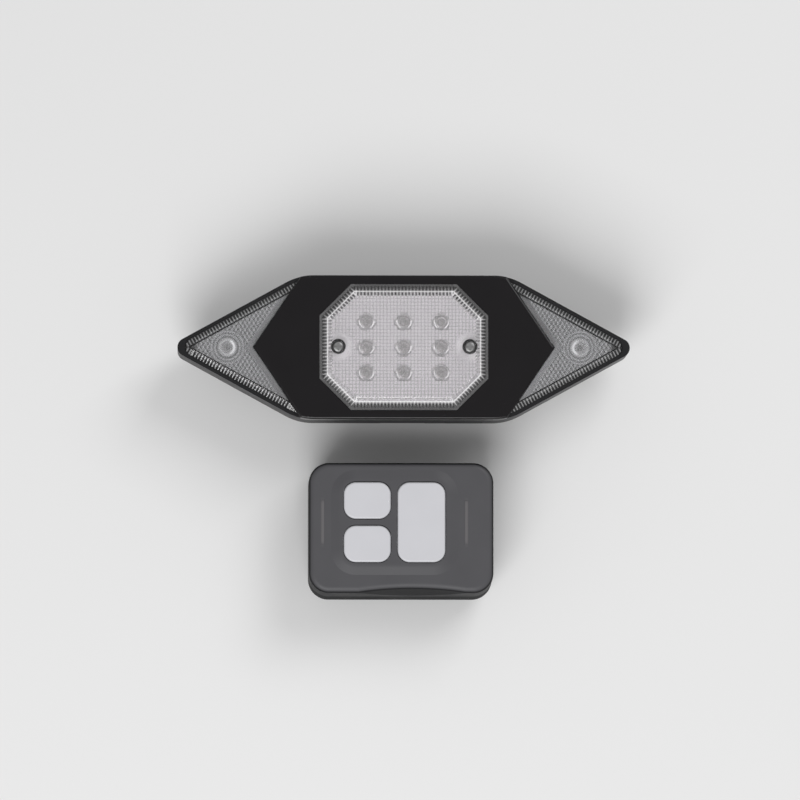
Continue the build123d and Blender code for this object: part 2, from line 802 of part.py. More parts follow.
def make_controls():
    """Control board, its radio module and the switch that hangs under it over the button."""
    board = slab(
        control_x - control_length / 2, control_x + control_length / 2,
        -control_width / 2, control_width / 2,
        control_base, control_base + small_board,
    )
    radio_x = control_x + radio_offset
    radio = slab(
        radio_x - radio_length / 2, radio_x + radio_length / 2,
        -radio_width / 2, radio_width / 2,
        control_base + small_board, control_base + small_board + radio_height,
    )
    switch = slab(
        button_x - switch_side / 2, button_x + switch_side / 2,
        -switch_side / 2, switch_side / 2,
        control_base - switch_height, control_base,
    )
    switch += rod(button_x, 0, switch_plunger_radius, plunger_low, control_base - switch_height)
    return board, radio, switch


def make_charging():
    """Charging board and the socket on its front edge."""
    board = slab(
        usb_x - charge_width / 2, usb_x + charge_width / 2,
        usb_face_y, usb_face_y + charge_length,
        usb_board_z, usb_board_z + small_board,
    )
    side = usb_width / 2
    rise = usb_height / 2
    socket = slab(
        usb_x - side, usb_x + side,
        usb_face_y, usb_face_y + usb_length,
        usb_z - rise, usb_z + rise,
    )
    socket = fillet(socket.edges().filter_by(Axis.Y), rise - fit_gap)
    mouth_side = side - usb_shell
    mouth_rise = rise - usb_shell
    mouth = slab(
        usb_x - mouth_side, usb_x + mouth_side,
        usb_face_y - overrun, usb_face_y + usb_length - usb_shell,
        usb_z - mouth_rise, usb_z + mouth_rise,
    )
    mouth = fillet(mouth.edges().filter_by(Axis.Y), mouth_rise - fit_gap)
    socket -= mouth
    socket += slab(
        usb_x - mouth_side / 2, usb_x + mouth_side / 2,
        usb_face_y + usb_shell, usb_face_y + usb_length,
        usb_z - usb_tongue / 2, usb_z + usb_tongue / 2,
    )
    return board, socket


def make_power_button():
    """Round button in the light's back, held by a flange inside the floor."""
    button = rod(button_x, 0, button_radius, light_back, inner_floor + running_gap)
    button = chamfer(button.edges().group_by(Axis.Z)[0], running_gap * 2)
    button += rod(button_x, 0, button_radius + button_flange, inner_floor + running_gap, button_flange_top)
    dish_radius = (button_radius ** 2 + button_dimple ** 2) / (2 * button_dimple)
    dish = Pos(button_x, 0, light_back + button_dimple / 2 - dish_radius) * Sphere(dish_radius)
    return button - dish


def make_usb_cover():
    """Hinged cover of the socket, with its barrel and two stub pins along the lower edge."""
    side = cover_width / 2
    outer_y = cover_axis_y - cover_barrel
    cover = slab(usb_x - side, usb_x + side, outer_y, outer_y + cover_thickness, cover_axis_z, cover_high)
    cover = fillet(cover.edges().filter_by(Axis.Y).group_by(Axis.Z)[-1], cover_thickness)
    cover += bar_along_x(cover_axis_y, cover_axis_z, cover_barrel, usb_x - side, usb_x + side)
    stub_reach = side + hinge_stub
    cover += bar_along_x(
        cover_axis_y, cover_axis_z, hinge_stub_radius, usb_x - stub_reach, usb_x + stub_reach,
    )
    grip = bar_along_x(outer_y, cover_high, cover_grip, usb_x - side / 2, usb_x + side / 2)
    return cover - grip


def saddle(radius, pad, axis_z, length, half_foot, flank_rise, shoulder, top):
    """A block with a round seat along Y, open downwards, that stands on its two feet."""
    outline = [
        (-half_foot, 0),
        (half_foot, 0),
        (half_foot, flank_rise),
        (shoulder, top),
        (-shoulder, top),
        (-half_foot, flank_rise),
    ]
    block = profile_along_y(outline, -length / 2, length / 2)
    return block - bar_along_y(0, axis_z, radius + pad, -length / 2 - overrun, length / 2 + overrun)


def saddle_pad(radius, pad, axis_z, length, lift):
    """The rubber lining of a saddle."""
    outer = radius + pad - running_gap / 2
    lining = bar_along_y(0, axis_z, outer, -length / 2, length / 2)
    lining -= bar_along_y(0, axis_z, radius, -length / 2 - overrun, length / 2 + overrun)
    reach = outer + overrun
    below = slab(-reach, reach, -length, length, axis_z - reach, lift)
    return lining - below


def hook(base, low, reach, thickness, lip, width):
    """A finger that points to +X and turns up at its end."""
    outline = [
        (base - thickness, low),
        (base + reach, low),
        (base + reach, low + thickness + lip),
        (base + reach - thickness, low + thickness + lip),
        (base + reach - thickness, low + thickness),
        (base - thickness, low + thickness),
    ]
    return profile_along_y(outline, -width / 2, width / 2)


def make_bracket_cradle():
    """Saddle for the seat post with a dovetail shoe, two pin lugs and a strap hook."""
    cradle = saddle(
        post_radius, post_pad_thickness, post_axis_z, post_seat_length,
        cradle_half_foot, cradle_flank_rise, cradle_shoulder, bracket_top,
    )
    shoe_top = slot_floor - slide_gap
    neck = slot_mouth / 2 - running_gap
    head = neck + slot_flare * (shoe_top - light_back) / slot_depth
    shoe = [
        (-neck, bracket_top - cradle_crown / 2),
        (neck, bracket_top - cradle_crown / 2),
        (neck, light_back),
        (head, shoe_top),
        (-head, shoe_top),
        (-neck, light_back),
    ]
    cradle += profile_along_y(shoe, -post_seat_length / 2, post_seat_length / 2)
    cradle += hook(
        cradle_half_foot, pin_rise - hook_thickness / 2, hook_reach, hook_thickness, hook_lip, hook_width,
    )
    lug_end = post_seat_length / 2 - lug_inset
    for low, high in ((-lug_end, lug_width - lug_end), (lug_end - lug_width, lug_end)):
        cradle += bar_along_y(pin_x, pin_rise, lug_radius, low, high)
        cradle += slab(
            pin_x, lug_inset - cradle_half_foot, low, high, pin_rise - lug_radius, cradle_flank_rise,
        )
    pin_hole = pin_radius + running_gap / 2
    return cradle - bar_along_y(pin_x, pin_rise, pin_hole, -lug_end - overrun, lug_end + overrun)


def make_strap_pin():
    """Steel pin through the lugs and the strap's eye, with a flat head at each end."""
    lug_end = post_seat_length / 2 - lug_inset
    pin = bar_along_y(pin_x, pin_rise, pin_radius, -lug_end - pin_head, lug_end + pin_head)
    pin += bar_along_y(pin_x, pin_rise, pin_head_radius, -lug_end - pin_head, -lug_end)
    return pin + bar_along_y(pin_x, pin_rise, pin_head_radius, lug_end, lug_end + pin_head)


def make_post_strap():
    """Rubber ladder strap that lies flat, with its eye round the pin and a ribbed pull tab."""
    half_width = post_seat_length / 2 - lug_inset - lug_width - moving_gap
    end = pin_x - strap_reach
    strap = slab(end, pin_x, -half_width, half_width, 0, strap_thickness)
    corners = strap.edges().filter_by(Axis.Z).group_by(Axis.X)[0]
    strap = fillet(corners, half_width * strap_slot_width_share)
    strap += bar_along_y(pin_x, pin_rise, strap_eye_radius, -half_width, half_width)
    strap += slab(
        pin_x - strap_eye_radius, pin_x, -half_width, half_width, strap_thickness / 2, pin_rise,
    )
    eye = bar_along_y(
        pin_x, pin_rise, pin_radius + running_gap, -half_width - overrun, half_width + overrun,
    )
    cuts = [eye]
    slot_side = half_width * strap_slot_width_share
    for rung in range(strap_rungs):
        middle = pin_x - strap_first_slot - rung * strap_rung_pitch
        slot = slab(
            middle - strap_slot_length / 2, middle + strap_slot_length / 2,
            -slot_side, slot_side, -overrun, strap_thickness + overrun,
        )
        cuts.append(fillet(slot.edges().filter_by(Axis.Z), strap_slot_length / 3))
    tab_ribs = int(strap_reach * strap_tab_share / strap_rib_pitch)
    for rib in range(tab_ribs):
        x = end + (rib + 1) * strap_rib_pitch
        cuts.append(slab(
            x - strap_rib, x + strap_rib, -slot_side, slot_side,
            strap_thickness - strap_rib, strap_thickness + overrun,
        ))
    return strap - cuts


# Places in the remote that several pieces share
upper_key_y = key_group_y + (key_gap + key_height) / 2
lower_key_y = key_group_y - (key_gap + key_height) / 2
bay_half = aaa_length / 2 + contact_gap
bay_side = 2 * cell_radius + cell_side_gap
rail_side = door_half + door_tongue + bay_wall
remote_post_x = remote_board_length / 2 - post_inset
remote_post_y = remote_board_width / 2 - post_inset
scallop_radius = (scallop_chord ** 2 / 4 - scallop_sag ** 2) / (2 * scallop_sag)
lean_top = remote_face - remote_edge_round
lean_low = remote_back + back_edge_round
remote_skirt = remote_face - remote_seam_z


def remote_plan(inset):
    """The remote's rounded outline, moved in by inset."""
    return RectangleRounded(remote_width - 2 * inset, remote_height - 2 * inset, remote_corner - inset)


def remote_section(z):
    """The remote's outline at a height. Its lower side leans out between its two rounded edges."""
    out = remote_lean * (lean_top - z) / (lean_top - lean_low)
    plan = RectangleRounded(remote_width, remote_height + out, remote_corner)
    return Pos(0, -out / 2, 0) * plan


def key_places():
    """Middle, width and height of the upper, the lower and the tall key."""
    return [
        (small_key_x, upper_key_y, key_width, key_height),
        (small_key_x, lower_key_y, key_width, key_height),
        (tall_key_x, key_group_y, tall_key_width, tall_key_height),
    ]


def key_field(grow):
    """A rounded outline round all three keys, moved out from them by grow."""
    outline = RectangleRounded(key_field_width + 2 * grow, tall_key_height + 2 * grow, key_corner + grow)
    return Pos(key_group_x, key_group_y, 0) * outline


def make_remote_front():
    """Satin cover with a soft plateau, three key openings, two raised lines and a thumb scallop."""
    edge_y = -remote_height / 2
    tool_height = remote_skirt + overrun
    tool_slope = scallop_sag / scallop_run
    tool_foot = scallop_radius - tool_slope * (remote_skirt - scallop_run)
    thumb = Cone(tool_foot, tool_foot + tool_slope * tool_height, tool_height)
    thumb = Pos(scallop_x, edge_y - scallop_radius, remote_seam_z + tool_height / 2) * thumb
    shell = prism(remote_plan(0), lean_top, remote_face) - thumb
    shell = fillet(shell.edges().group_by(Axis.Z)[-1], remote_edge_round - fit_gap)
    skirt = frustum(remote_section(remote_seam_z), remote_section(lean_top), remote_seam_z, lean_top)
    shell += skirt - thumb
    plateau_reach = plateau_border + plateau_slope
    shell += frustum(key_field(plateau_reach), key_field(plateau_border), remote_face, plateau_z)
    soft = shell.edges().filter_by_position(Axis.Z, plateau_z - fit_gap, plateau_z + fit_gap)
    shell = fillet(soft, plateau_soft)
    line_z = remote_face + grip_line_rise - grip_line_radius
    for side in (-1, 1):
        line_x = key_group_x + side * (key_field_width / 2 + grip_line_out)
        line_ends = (key_group_y - grip_line_length / 2, key_group_y + grip_line_length / 2)
        shell += bar_along_y(line_x, line_z, grip_line_radius, *line_ends)
    hollow = prism(remote_plan(remote_wall), remote_seam_z, front_hollow_top)
    thick = edge_y + remote_wall + scallop_sag
    hollow -= slab(-remote_width, remote_width, edge_y, thick, remote_seam_z, front_hollow_top)
    shell -= hollow
    for x, y in mirrored_pair(remote_screw_x, remote_screw_y):
        shell += rod(x, y, remote_boss, remote_seam_z, front_hollow_top)
    cuts = []
    for x, y in mirrored_pair(remote_screw_x, remote_screw_y):
        cuts.append(rod(x, y, remote_screw_radius + fit_gap, remote_seam_z - overrun, front_hollow_top))
    for x, y, width, height in key_places():
        opening = RectangleRounded(
            width + 2 * key_clearance, height + 2 * key_clearance, key_corner + key_clearance,
        )
        cuts.append(prism(Pos(x, y, 0) * opening, front_hollow_top - overrun, plateau_z + overrun))
    return shell - cuts


def make_key(x, y, width, height):
    """One blank key: rounded cap, flange under the cover and a stub over its switch."""
    cap = prism(Pos(x, y, 0) * RectangleRounded(width, height, key_corner), key_flange_top, key_top)
    cap = fillet(cap.edges().group_by(Axis.Z)[-1], key_round)
    flange = RectangleRounded(width + 2 * key_flange, height + 2 * key_flange, key_corner + key_flange)
    cap += prism(Pos(x, y, 0) * flange, key_flange_low, key_flange_top)
    return cap + rod(x, y, key_stub_radius, key_stub_low, key_flange_low)


def remote_shell_form():
    """The outer form of the back shell, which the door shares."""
    form = prism(remote_section(lean_low), remote_back, lean_low)
    form = fillet(form.edges().group_by(Axis.Z)[0], back_edge_round - fit_gap)
    return form + frustum(remote_section(lean_low), remote_section(remote_seam_z), lean_low, remote_seam_z)


def make_remote_back():
    """Back shell with the cell bay, the door's rails, board posts and screw columns."""
    outer = remote_shell_form()
    floor_top = remote_back + remote_floor
    shell = outer - prism(remote_plan(remote_wall), floor_top, remote_seam_z)
    bay_top = cell_axis_z + cell_radius / 2
    bay_end = bay_half + bay_wall
    bay = slab(-bay_end, bay_end, -rail_side, rail_side, floor_top, bay_top)
    bay -= slab(-bay_half, bay_half, -bay_side, bay_side, floor_top - overrun, bay_top + overrun)
    inside = bay
    for x, y in mirrored_pair(remote_post_x, remote_post_y):
        inside += rod(x, y, post_size, floor_top, remote_board_z)
    for x, y in mirrored_pair(remote_screw_x, remote_screw_y):
        inside += rod(x, y, remote_boss, remote_back, remote_seam_z)
    rail_end = remote_width / 2 - remote_wall
    for rail in (-rail_side, rail_side - bay_wall):
        inside += slab(-rail_end, rail_end, rail, rail + bay_wall, floor_top, floor_top + remote_floor)
    shell += inside
    lip = door_thickness / 2
    end = -bay_end - running_gap
    cuts = [
        slab(end, remote_width, -door_half, door_half, remote_back - overrun, remote_back + lip),
        slab(
            end, remote_width, -door_half - door_tongue, door_half + door_tongue,
            remote_back + lip, remote_back + door_thickness + running_gap,
        ),
        slab(-bay_half, bay_half, -bay_side, bay_side, remote_back, bay_top),
    ]
    head_top = remote_back + screw_sink + remote_head
    for x, y in mirrored_pair(remote_screw_x, remote_screw_y):
        cuts.append(rod(x, y, remote_head_radius + fit_gap, remote_back - overrun, head_top))
        cuts.append(rod(x, y, remote_screw_radius + fit_gap, remote_back, remote_seam_z + overrun))
    return shell - cuts


def make_battery_door():
    """Door that slides off to +X, with side tongues, grip ribs and the handlebar saddle."""
    outer = remote_shell_form()
    start = -bay_half - bay_wall
    lip = door_thickness / 2
    side = door_half - running_gap
    low = slab(start, remote_width, -side, side, remote_back, remote_back + lip)
    tongue_side = side + door_tongue
    high = slab(
        start, remote_width, -tongue_side, tongue_side,
        remote_back + lip + running_gap / 2, remote_back + door_thickness,
    )
    joined = slab(start, remote_width, -side, side, remote_back, remote_back + door_thickness)
    door = (low + high + joined) & outer
    seat = saddle(
        bar_radius, bar_pad_thickness, bar_axis_z, bar_seat_length,
        bar_half_foot, bar_flank_rise, side, remote_back,
    )
    finger = hook(
        bar_half_foot, bar_hook_rise, bar_hook, bar_hook_thickness, bar_hook_thickness / 2, bar_hook_length,
    )
    seat += finger
    seat += Rot(0, 0, 180) * finger
    door += Rot(0, 0, 90) * seat
    grips = []
    first = bar_seat_length / 2 + grip_pitch
    for rib in range(grip_ribs):
        x = first + rib * grip_pitch
        grips.append(slab(
            x, x + grip_pitch / 2, -side * grip_length_share, side * grip_length_share,
            remote_back - overrun, remote_back + grip_depth,
        ))
    return door - grips


def make_remote_cells():
    """Two AAA cells side by side, the second one turned end for end."""
    cells = []
    for side in (-1, 1):
        y = side * (cell_radius + cell_side_gap / 2)
        can = bar_along_x(y, cell_axis_z, cell_radius, -aaa_length / 2, aaa_length / 2 - nub_length)
        can += bar_along_x(y, cell_axis_z, nub_radius, aaa_length / 2 - nub_length, aaa_length / 2)
        cells.append(can if side > 0 else Pos(0, y, 0) * Rot(0, 0, 180) * Pos(0, -y, 0) * can)
    return cells


def make_cell_contacts():
    """Contact plates at both ends of the bay, each with a boss against every cell."""
    plates = []
    for end in (-1, 1):
        wall = end * bay_half
        face = end * (bay_half - contact_plate)
        plate = slab(
            min(wall, face), max(wall, face), -bay_side, bay_side,
            cell_axis_z - cell_radius / 2, cell_axis_z + cell_radius / 2,
        )
        for side in (-1, 1):
            y = side * (cell_radius + cell_side_gap / 2)
            tip = end * aaa_length / 2
            plate += bar_along_x(y, cell_axis_z, nub_radius, min(face, tip), max(face, tip))
        plates.append(plate)
    return plates


def make_remote_board():
    """Board under the keys, on the back shell's posts."""
    plan = RectangleRounded(remote_board_length, remote_board_width, post_inset)
    return prism(plan, remote_board_z, remote_board_z + small_board)


def make_remote_switches():
    """A small press switch on the board under each key."""
    switches = []
    low = remote_board_z + small_board
    body_top = low + remote_switch_height * 2 / 3
    for x, y, width, height in key_places():
        half = switch_side / 2
        body = slab(x - half, x + half, y - half, y + half, low, body_top)
        switches.append(body + rod(x, y, switch_plunger_radius, body_top, remote_switch_top))
    return switches


def make_parts():
    """Every node of the set, in its place."""
    light = {}
    light["rear_housing"] = make_rear_housing()
    light["front_bezel"] = make_front_bezel()
    light["left_wing_lens"], light["right_wing_lens"] = make_wing_lenses()
    light["centre_lens"] = make_centre_lens()
    light["centre_lens_seal"] = make_lens_seal()
    light["lens_screws"] = [
        screw(
            side * lens_screw_x, 0, screw_radius, lens_screw_head_radius, lens_screw_head,
            lens_screw_low, lens_recess_floor + lens_screw_head, False,
        )
        for side in (-1, 1)
    ]
    light["housing_screws"] = [
        screw(
            x, y, screw_radius, screw_head_radius, screw_head,
            light_back + screw_sink, bezel_under - screw_tip_gap, True,
        )
        for x, y in mirrored_pair(housing_screw_x, housing_screw_y)
    ]
    light["centre_reflector"] = make_centre_reflector()
    light["centre_leds"] = [led(x, y, led_base) for x, y in led_places()]
    light["led_board"] = make_led_board()
    light["left_wing_reflector"], light["right_wing_reflector"] = make_wing_reflectors()
    light["wing_leds"] = [led(side * wing_led_x, 0, wing_led_base) for side in (-1, 1)]
    light["wing_boards"] = make_wing_boards()
    light["battery_cell"], light["battery_pad"] = make_battery()
    light["control_board"], light["radio_module"], light["power_switch"] = make_controls()
    light["charge_board"], light["usb_socket"] = make_charging()
    light["power_button"] = make_power_button()
    light["usb_cover"] = make_usb_cover()
    light["bracket_cradle"] = make_bracket_cradle()
    light["bracket_pad"] = saddle_pad(
        post_radius, post_pad_thickness, post_axis_z, post_seat_length, post_pad_lift,
    )
    light["strap_pin"] = make_strap_pin()
    light["post_strap"] = make_post_strap()

    remote = {}
    remote["remote_front_shell"] = make_remote_front()
    remote["remote_back_shell"] = make_remote_back()
    upper, lower, tall = key_places()
    remote["upper_key"] = make_key(*upper)
    remote["lower_key"] = make_key(*lower)
    remote["tall_key"] = make_key(*tall)
    remote["remote_board"] = make_remote_board()
    remote["remote_switches"] = make_remote_switches()
    remote["remote_cells"] = make_remote_cells()
    remote["cell_contacts"] = make_cell_contacts()
    remote["remote_screws"] = [
        screw(
            x, y, remote_screw_radius, remote_head_radius, remote_head,
            remote_back + screw_sink, front_hollow_top - screw_tip_gap, True,
        )
        for x, y in mirrored_pair(remote_screw_x, remote_screw_y)
    ]
    remote["battery_door"] = make_battery_door()
    remote["door_pad"] = Rot(0, 0, 90) * saddle_pad(
        bar_radius, bar_pad_thickness, bar_axis_z, bar_seat_length, bar_pad_lift,
    )

    places = [(light, Pos(0, light_y, 0)), (remote, Pos(-remote_shift, remote_y, 0))]
    parts = {}
    for group, place in places:
        for name, shape in group.items():
            solids = shape if isinstance(shape, list) else shape.solids()
            placed = [place * solid for solid in solids]
            parts[name] = placed[0] if len(placed) == 1 else Compound(children=placed)
    return parts


os.makedirs("parts", exist_ok=True)
for name, shape in make_parts().items():
    export_step(shape, f"parts/{name}.step")
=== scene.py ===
import math

import bmesh
import bpy
from mathutils import Matrix, Vector


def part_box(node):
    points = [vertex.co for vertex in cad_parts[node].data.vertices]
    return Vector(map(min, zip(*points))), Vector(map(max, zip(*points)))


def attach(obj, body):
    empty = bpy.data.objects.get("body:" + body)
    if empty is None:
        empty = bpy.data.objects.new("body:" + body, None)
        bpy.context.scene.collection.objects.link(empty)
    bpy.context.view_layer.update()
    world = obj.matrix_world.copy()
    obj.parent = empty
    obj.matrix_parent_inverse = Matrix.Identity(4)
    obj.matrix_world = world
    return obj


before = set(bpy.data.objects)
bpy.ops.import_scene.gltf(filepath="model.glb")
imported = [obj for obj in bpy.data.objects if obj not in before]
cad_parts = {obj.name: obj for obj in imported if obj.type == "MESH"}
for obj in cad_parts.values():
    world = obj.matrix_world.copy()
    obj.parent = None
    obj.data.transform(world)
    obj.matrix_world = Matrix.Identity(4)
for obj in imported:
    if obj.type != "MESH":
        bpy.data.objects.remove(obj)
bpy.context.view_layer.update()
mm = 0.001


# Bracket cradle. The saddle that sits on the seat post, moulded in glass-filled nylon in one
# piece with its dovetail shoe, strap hook and pin lugs. The mould leaves a fine matt grain.
def surface(name, colour, roughness, **sockets):
    """A material whose shader holds these values on its own sockets."""
    material = bpy.data.materials.new(name)
    material.use_nodes = True
    shader = material.node_tree.nodes["Principled BSDF"]
    shader.inputs["Base Color"].default_value = (*colour, 1)
    shader.inputs["Roughness"].default_value = roughness
    for socket, value in sockets.items():
        shader.inputs[socket.replace("_", " ")].default_value = value
    return material, shader


def join(tree, kind, links=(), **settings):
    """A shader node with its settings, and its inputs fed by other nodes."""
    node = tree.nodes.new(kind)
    for key, value in settings.items():
        if key in node.inputs:
            node.inputs[key].default_value = value
        else:
            setattr(node, key, value)
    for socket, source in links:
        tree.links.new(source, node.inputs[socket])
    return node


def object_place(tree):
    """Where a point lies in the object's own frame, in metres."""
    return join(tree, "ShaderNodeTexCoord").outputs["Object"]


def noise(tree, place, scale, detail):
    """Soft noise between 0 and 1, with a number of waves per metre."""
    node = join(tree, "ShaderNodeTexNoise", [("Vector", place)], Scale=scale, Detail=detail)
    return node.outputs["Fac"]


def ramp(tree, value, low, high, start=0, stop=1, shape="LINEAR"):
    """Goes from low to high while a value goes from start to stop."""
    ends = {"From Min": start, "From Max": stop, "To Min": low, "To Max": high}
    node = join(tree, "ShaderNodeMapRange", [("Value", value)], interpolation_type=shape, **ends)
    return node.outputs["Result"]


def blended(tree, share, first, second):
    """A colour between two, each of them plain or fed by another node."""
    node = join(tree, "ShaderNodeMix", [("Factor", share)], data_type="RGBA")
    for socket, colour in (("A", first), ("B", second)):
        if isinstance(colour, tuple):
            node.inputs[socket].default_value = (*colour, 1)
        else:
            tree.links.new(colour, node.inputs[socket])
    return node.outputs["Result"]


def relief(tree, shader, height, depth):
    """Fine relief on a surface, from a height between 0 and 1."""
    bump = join(tree, "ShaderNodeBump", [("Height", height)], Distance=depth, Strength=1)
    tree.links.new(bump.outputs["Normal"], shader.inputs["Normal"])


def moulded(name, colour, roughness, grain, depth, mottle=0.12, **sockets):
    """Moulded plastic or rubber: a fine grain from the tool, and slow changes in colour and sheen."""
    clouds_per_metre = 90
    sheen_change = 0.15
    material, shader = surface(name, colour, roughness, **sockets)
    tree = material.node_tree
    place = object_place(tree)
    relief(tree, shader, noise(tree, place, 1 / grain, detail=3), depth)
    clouds = noise(tree, place, clouds_per_metre, detail=4)
    darker = tuple(part * (1 - mottle) for part in colour)
    lighter = tuple(part * (1 + mottle) for part in colour)
    tree.links.new(blended(tree, clouds, darker, lighter), shader.inputs["Base Color"])
    dullest = min(roughness * (1 + sheen_change), 1)
    sheen = ramp(tree, clouds, roughness * (1 - sheen_change), dullest)
    tree.links.new(sheen, shader.inputs["Roughness"])
    return material


def dress(material, *names):
    """Gives CAD nodes their finish."""
    for name in names:
        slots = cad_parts[name].data.materials
        for index in range(len(slots)):
            slots[index] = material


nylon = moulded("black_nylon", (0.016, 0.016, 0.017), roughness=0.5, grain=0.25 * mm, depth=0.03 * mm)
dress(nylon, "bracket_cradle")


# Post pad and bar pad. Thin linings of soft black rubber, glued into the two saddles so that
# they grip and don't scratch the tube.
pad_rubber = moulded("pad_rubber", (0.012, 0.012, 0.012), roughness=0.72, grain=0.4 * mm, depth=0.05 * mm)
dress(pad_rubber, "bracket_pad", "door_pad")


# Strap pin. A turned steel pin with a flat head at each end, bright zinc plated. Turning
# leaves fine rings along it.
def plated(name, colour, roughness, line, depth, axis):
    """Plated metal with fine tool marks across one axis, where it is brighter and duller by turns."""
    stretch = 20
    brightest, dullest = 0.6, 1.5
    material, shader = surface(name, colour, roughness, Metallic=1)
    tree = material.node_tree
    scale = [1 / line if letter == axis else 1 / (stretch * line) for letter in "XYZ"]
    drawn_out = join(tree, "ShaderNodeMapping", [("Vector", object_place(tree))], Scale=scale)
    marks = noise(tree, drawn_out.outputs["Vector"], scale=1, detail=4)
    relief(tree, shader, marks, depth)
    sheen = ramp(tree, marks, roughness * brightest, roughness * dullest)
    tree.links.new(sheen, shader.inputs["Roughness"])
    return material


zinc = plated("zinc_steel", (0.58, 0.58, 0.60), roughness=0.28, line=0.3 * mm, depth=0.01 * mm, axis="Y")
dress(zinc, "strap_pin")


# Post strap. A ladder strap moulded in black rubber, with an eye for the pin, four slots that
# go over the hook and a ribbed tab to pull on.
strap_rubber = moulded(
    "strap_rubber", (0.018, 0.018, 0.019), roughness=0.62, grain=0.35 * mm, depth=0.04 * mm,
)
dress(strap_rubber, "post_strap")


# Rear housing and socket cover. The black ABS case of the light, open at the front, with plain
# satin side walls. Its back has the dovetail slot, four screw wells and the button's hole, and
# the cover of the charging socket is hinged to its lower side.
case_plastic = moulded(
    "case_black", (0.013, 0.013, 0.014), roughness=0.42, grain=0.22 * mm, depth=0.018 * mm,
    Specular_IOR_Level=0.2,
)
dress(case_plastic, "rear_housing", "usb_cover")


# Power button. A soft black button with a shallow dish for the fingertip, held in the back of
# the case by its flange.
button_rubber = moulded(
    "button_rubber", (0.035, 0.035, 0.037), roughness=0.6, grain=0.3 * mm, depth=0.03 * mm,
)
dress(button_rubber, "power_button")


# Battery. A lithium pouch cell in silver laminate foil, lying on the roof of the slot, with a
# square of black foam between it and the LED board.
foil = moulded(
    "pouch_foil", (0.62, 0.63, 0.65), roughness=0.3, grain=1.6 * mm, depth=0.12 * mm, Metallic=1,
)
dress(foil, "battery_cell")
foam = moulded("black_foam", (0.03, 0.03, 0.03), roughness=0.9, grain=0.5 * mm, depth=0.2 * mm)
dress(foam, "battery_pad")


# Boards. Glass-epoxy boards under solder mask, with copper tracks that show as bands of another
# shade. The mask is green, and white on the boards that carry the LEDs. The radio module and the
# switches that are soldered to them are black.
def board_finish(name, mask, track, pitch):
    """Solder mask over tracks: a grid of soft bands with a faint relief."""
    faded_share = 0.8
    track_relief = 0.03 * mm
    faded = tuple(part * faded_share for part in mask)
    material, shader = surface(name, mask, roughness=0.32, Coat_Weight=0.3)
    tree = material.node_tree
    grid = {"Brick Width": 4 * pitch, "Row Height": pitch, "Mortar Size": pitch / 6}
    shades = {"Color1": (*mask, 1), "Color2": (*faded, 1), "Mortar": (*track, 1)}
    place = object_place(tree)
    tracks = join(tree, "ShaderNodeTexBrick", [("Vector", place)], Scale=1, **grid, **shades)
    tree.links.new(tracks.outputs["Color"], shader.inputs["Base Color"])
    relief(tree, shader, tracks.outputs["Fac"], track_relief)
    return material


board_green = board_finish(
    "solder_mask", mask=(0.02, 0.12, 0.045), track=(0.06, 0.25, 0.10), pitch=1.4 * mm,
)
dress(board_green, "control_board", "charge_board", "remote_board")
board_white = board_finish(
    "white_solder_mask", mask=(0.50, 0.50, 0.49), track=(0.44, 0.45, 0.43), pitch=2.2 * mm,
)
dress(board_white, "led_board", "wing_boards")
component_black = moulded(
    "component_black", (0.02, 0.02, 0.021), roughness=0.45, grain=0.2 * mm, depth=0.01 * mm,
)
dress(component_black, "radio_module", "power_switch", "remote_switches")


# Charging socket. A drawn stainless shell round a contact tongue, soldered to the edge of the
# charging board.
socket_steel = plated(
    "socket_steel", (0.60, 0.60, 0.61), roughness=0.25, line=0.2 * mm, depth=0.005 * mm, axis="X",
)
dress(socket_steel, "usb_socket")


# Reflectors. The centre tray is glossy white and the two wing trays are grey, all moulded with
# a tapered cup round each LED.
tray_white = moulded(
    "tray_white", (0.50, 0.485, 0.50), roughness=0.3, grain=0.5 * mm, depth=0.01 * mm, mottle=0.04,
)
dress(tray_white, "centre_reflector")
tray_grey = moulded(
    "tray_grey", (0.13, 0.13, 0.135), roughness=0.3, grain=0.5 * mm, depth=0.01 * mm, mottle=0.06,
)
dress(tray_grey, "left_wing_reflector", "right_wing_reflector")


# LEDs. Water-clear epoxy bodies with a flange and a round dome. Each holds a silver-plated lead
# frame: a post that carries a small cup for the chip, and a longer post beside it.
def let_lamps_in(material, shader, share):
    """Clear plastic that lamps shine through, so that what lies behind it is lit."""
    tree = material.node_tree
    path = join(tree, "ShaderNodeLightPath")
    open_way = join(tree, "ShaderNodeBsdfTransparent", Color=(share, share, share, 1))
    choice = join(tree, "ShaderNodeMixShader", [("Fac", path.outputs["Is Shadow Ray"])])
    tree.links.new(shader.outputs["BSDF"], choice.inputs[1])
    tree.links.new(open_way.outputs["BSDF"], choice.inputs[2])
    tree.links.new(choice.outputs["Shader"], tree.nodes["Material Output"].inputs["Surface"])


def finished(name, form, body, material, crease=None):
    """A mesh made into a piece of one material, which rides on a body."""
    bmesh.ops.recalc_face_normals(form, faces=form.faces)
    mesh = bpy.data.meshes.new(name)
    form.to_mesh(mesh)
    form.free()
    if crease:
        mesh.shade_smooth()
        mesh.set_sharp_from_angle(angle=math.radians(crease))
    mesh.materials.append(material)
    piece = bpy.data.objects.new(name, mesh)
    bpy.context.scene.collection.objects.link(piece)
    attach(piece, body)
    return piece


def turned(form, profile, place, steps):
    """Adds a solid turned about an upright axis through a place. The profile starts and ends on it."""
    ring = [form.verts.new(place + Vector((radius, 0, height))) for radius, height in profile]
    edges = [form.edges.new(pair) for pair in zip(ring, ring[1:])]
    bmesh.ops.spin(
        form, geom=ring + edges, cent=place, axis=(0, 0, 1), angle=math.tau, steps=steps, use_merge=True,
    )


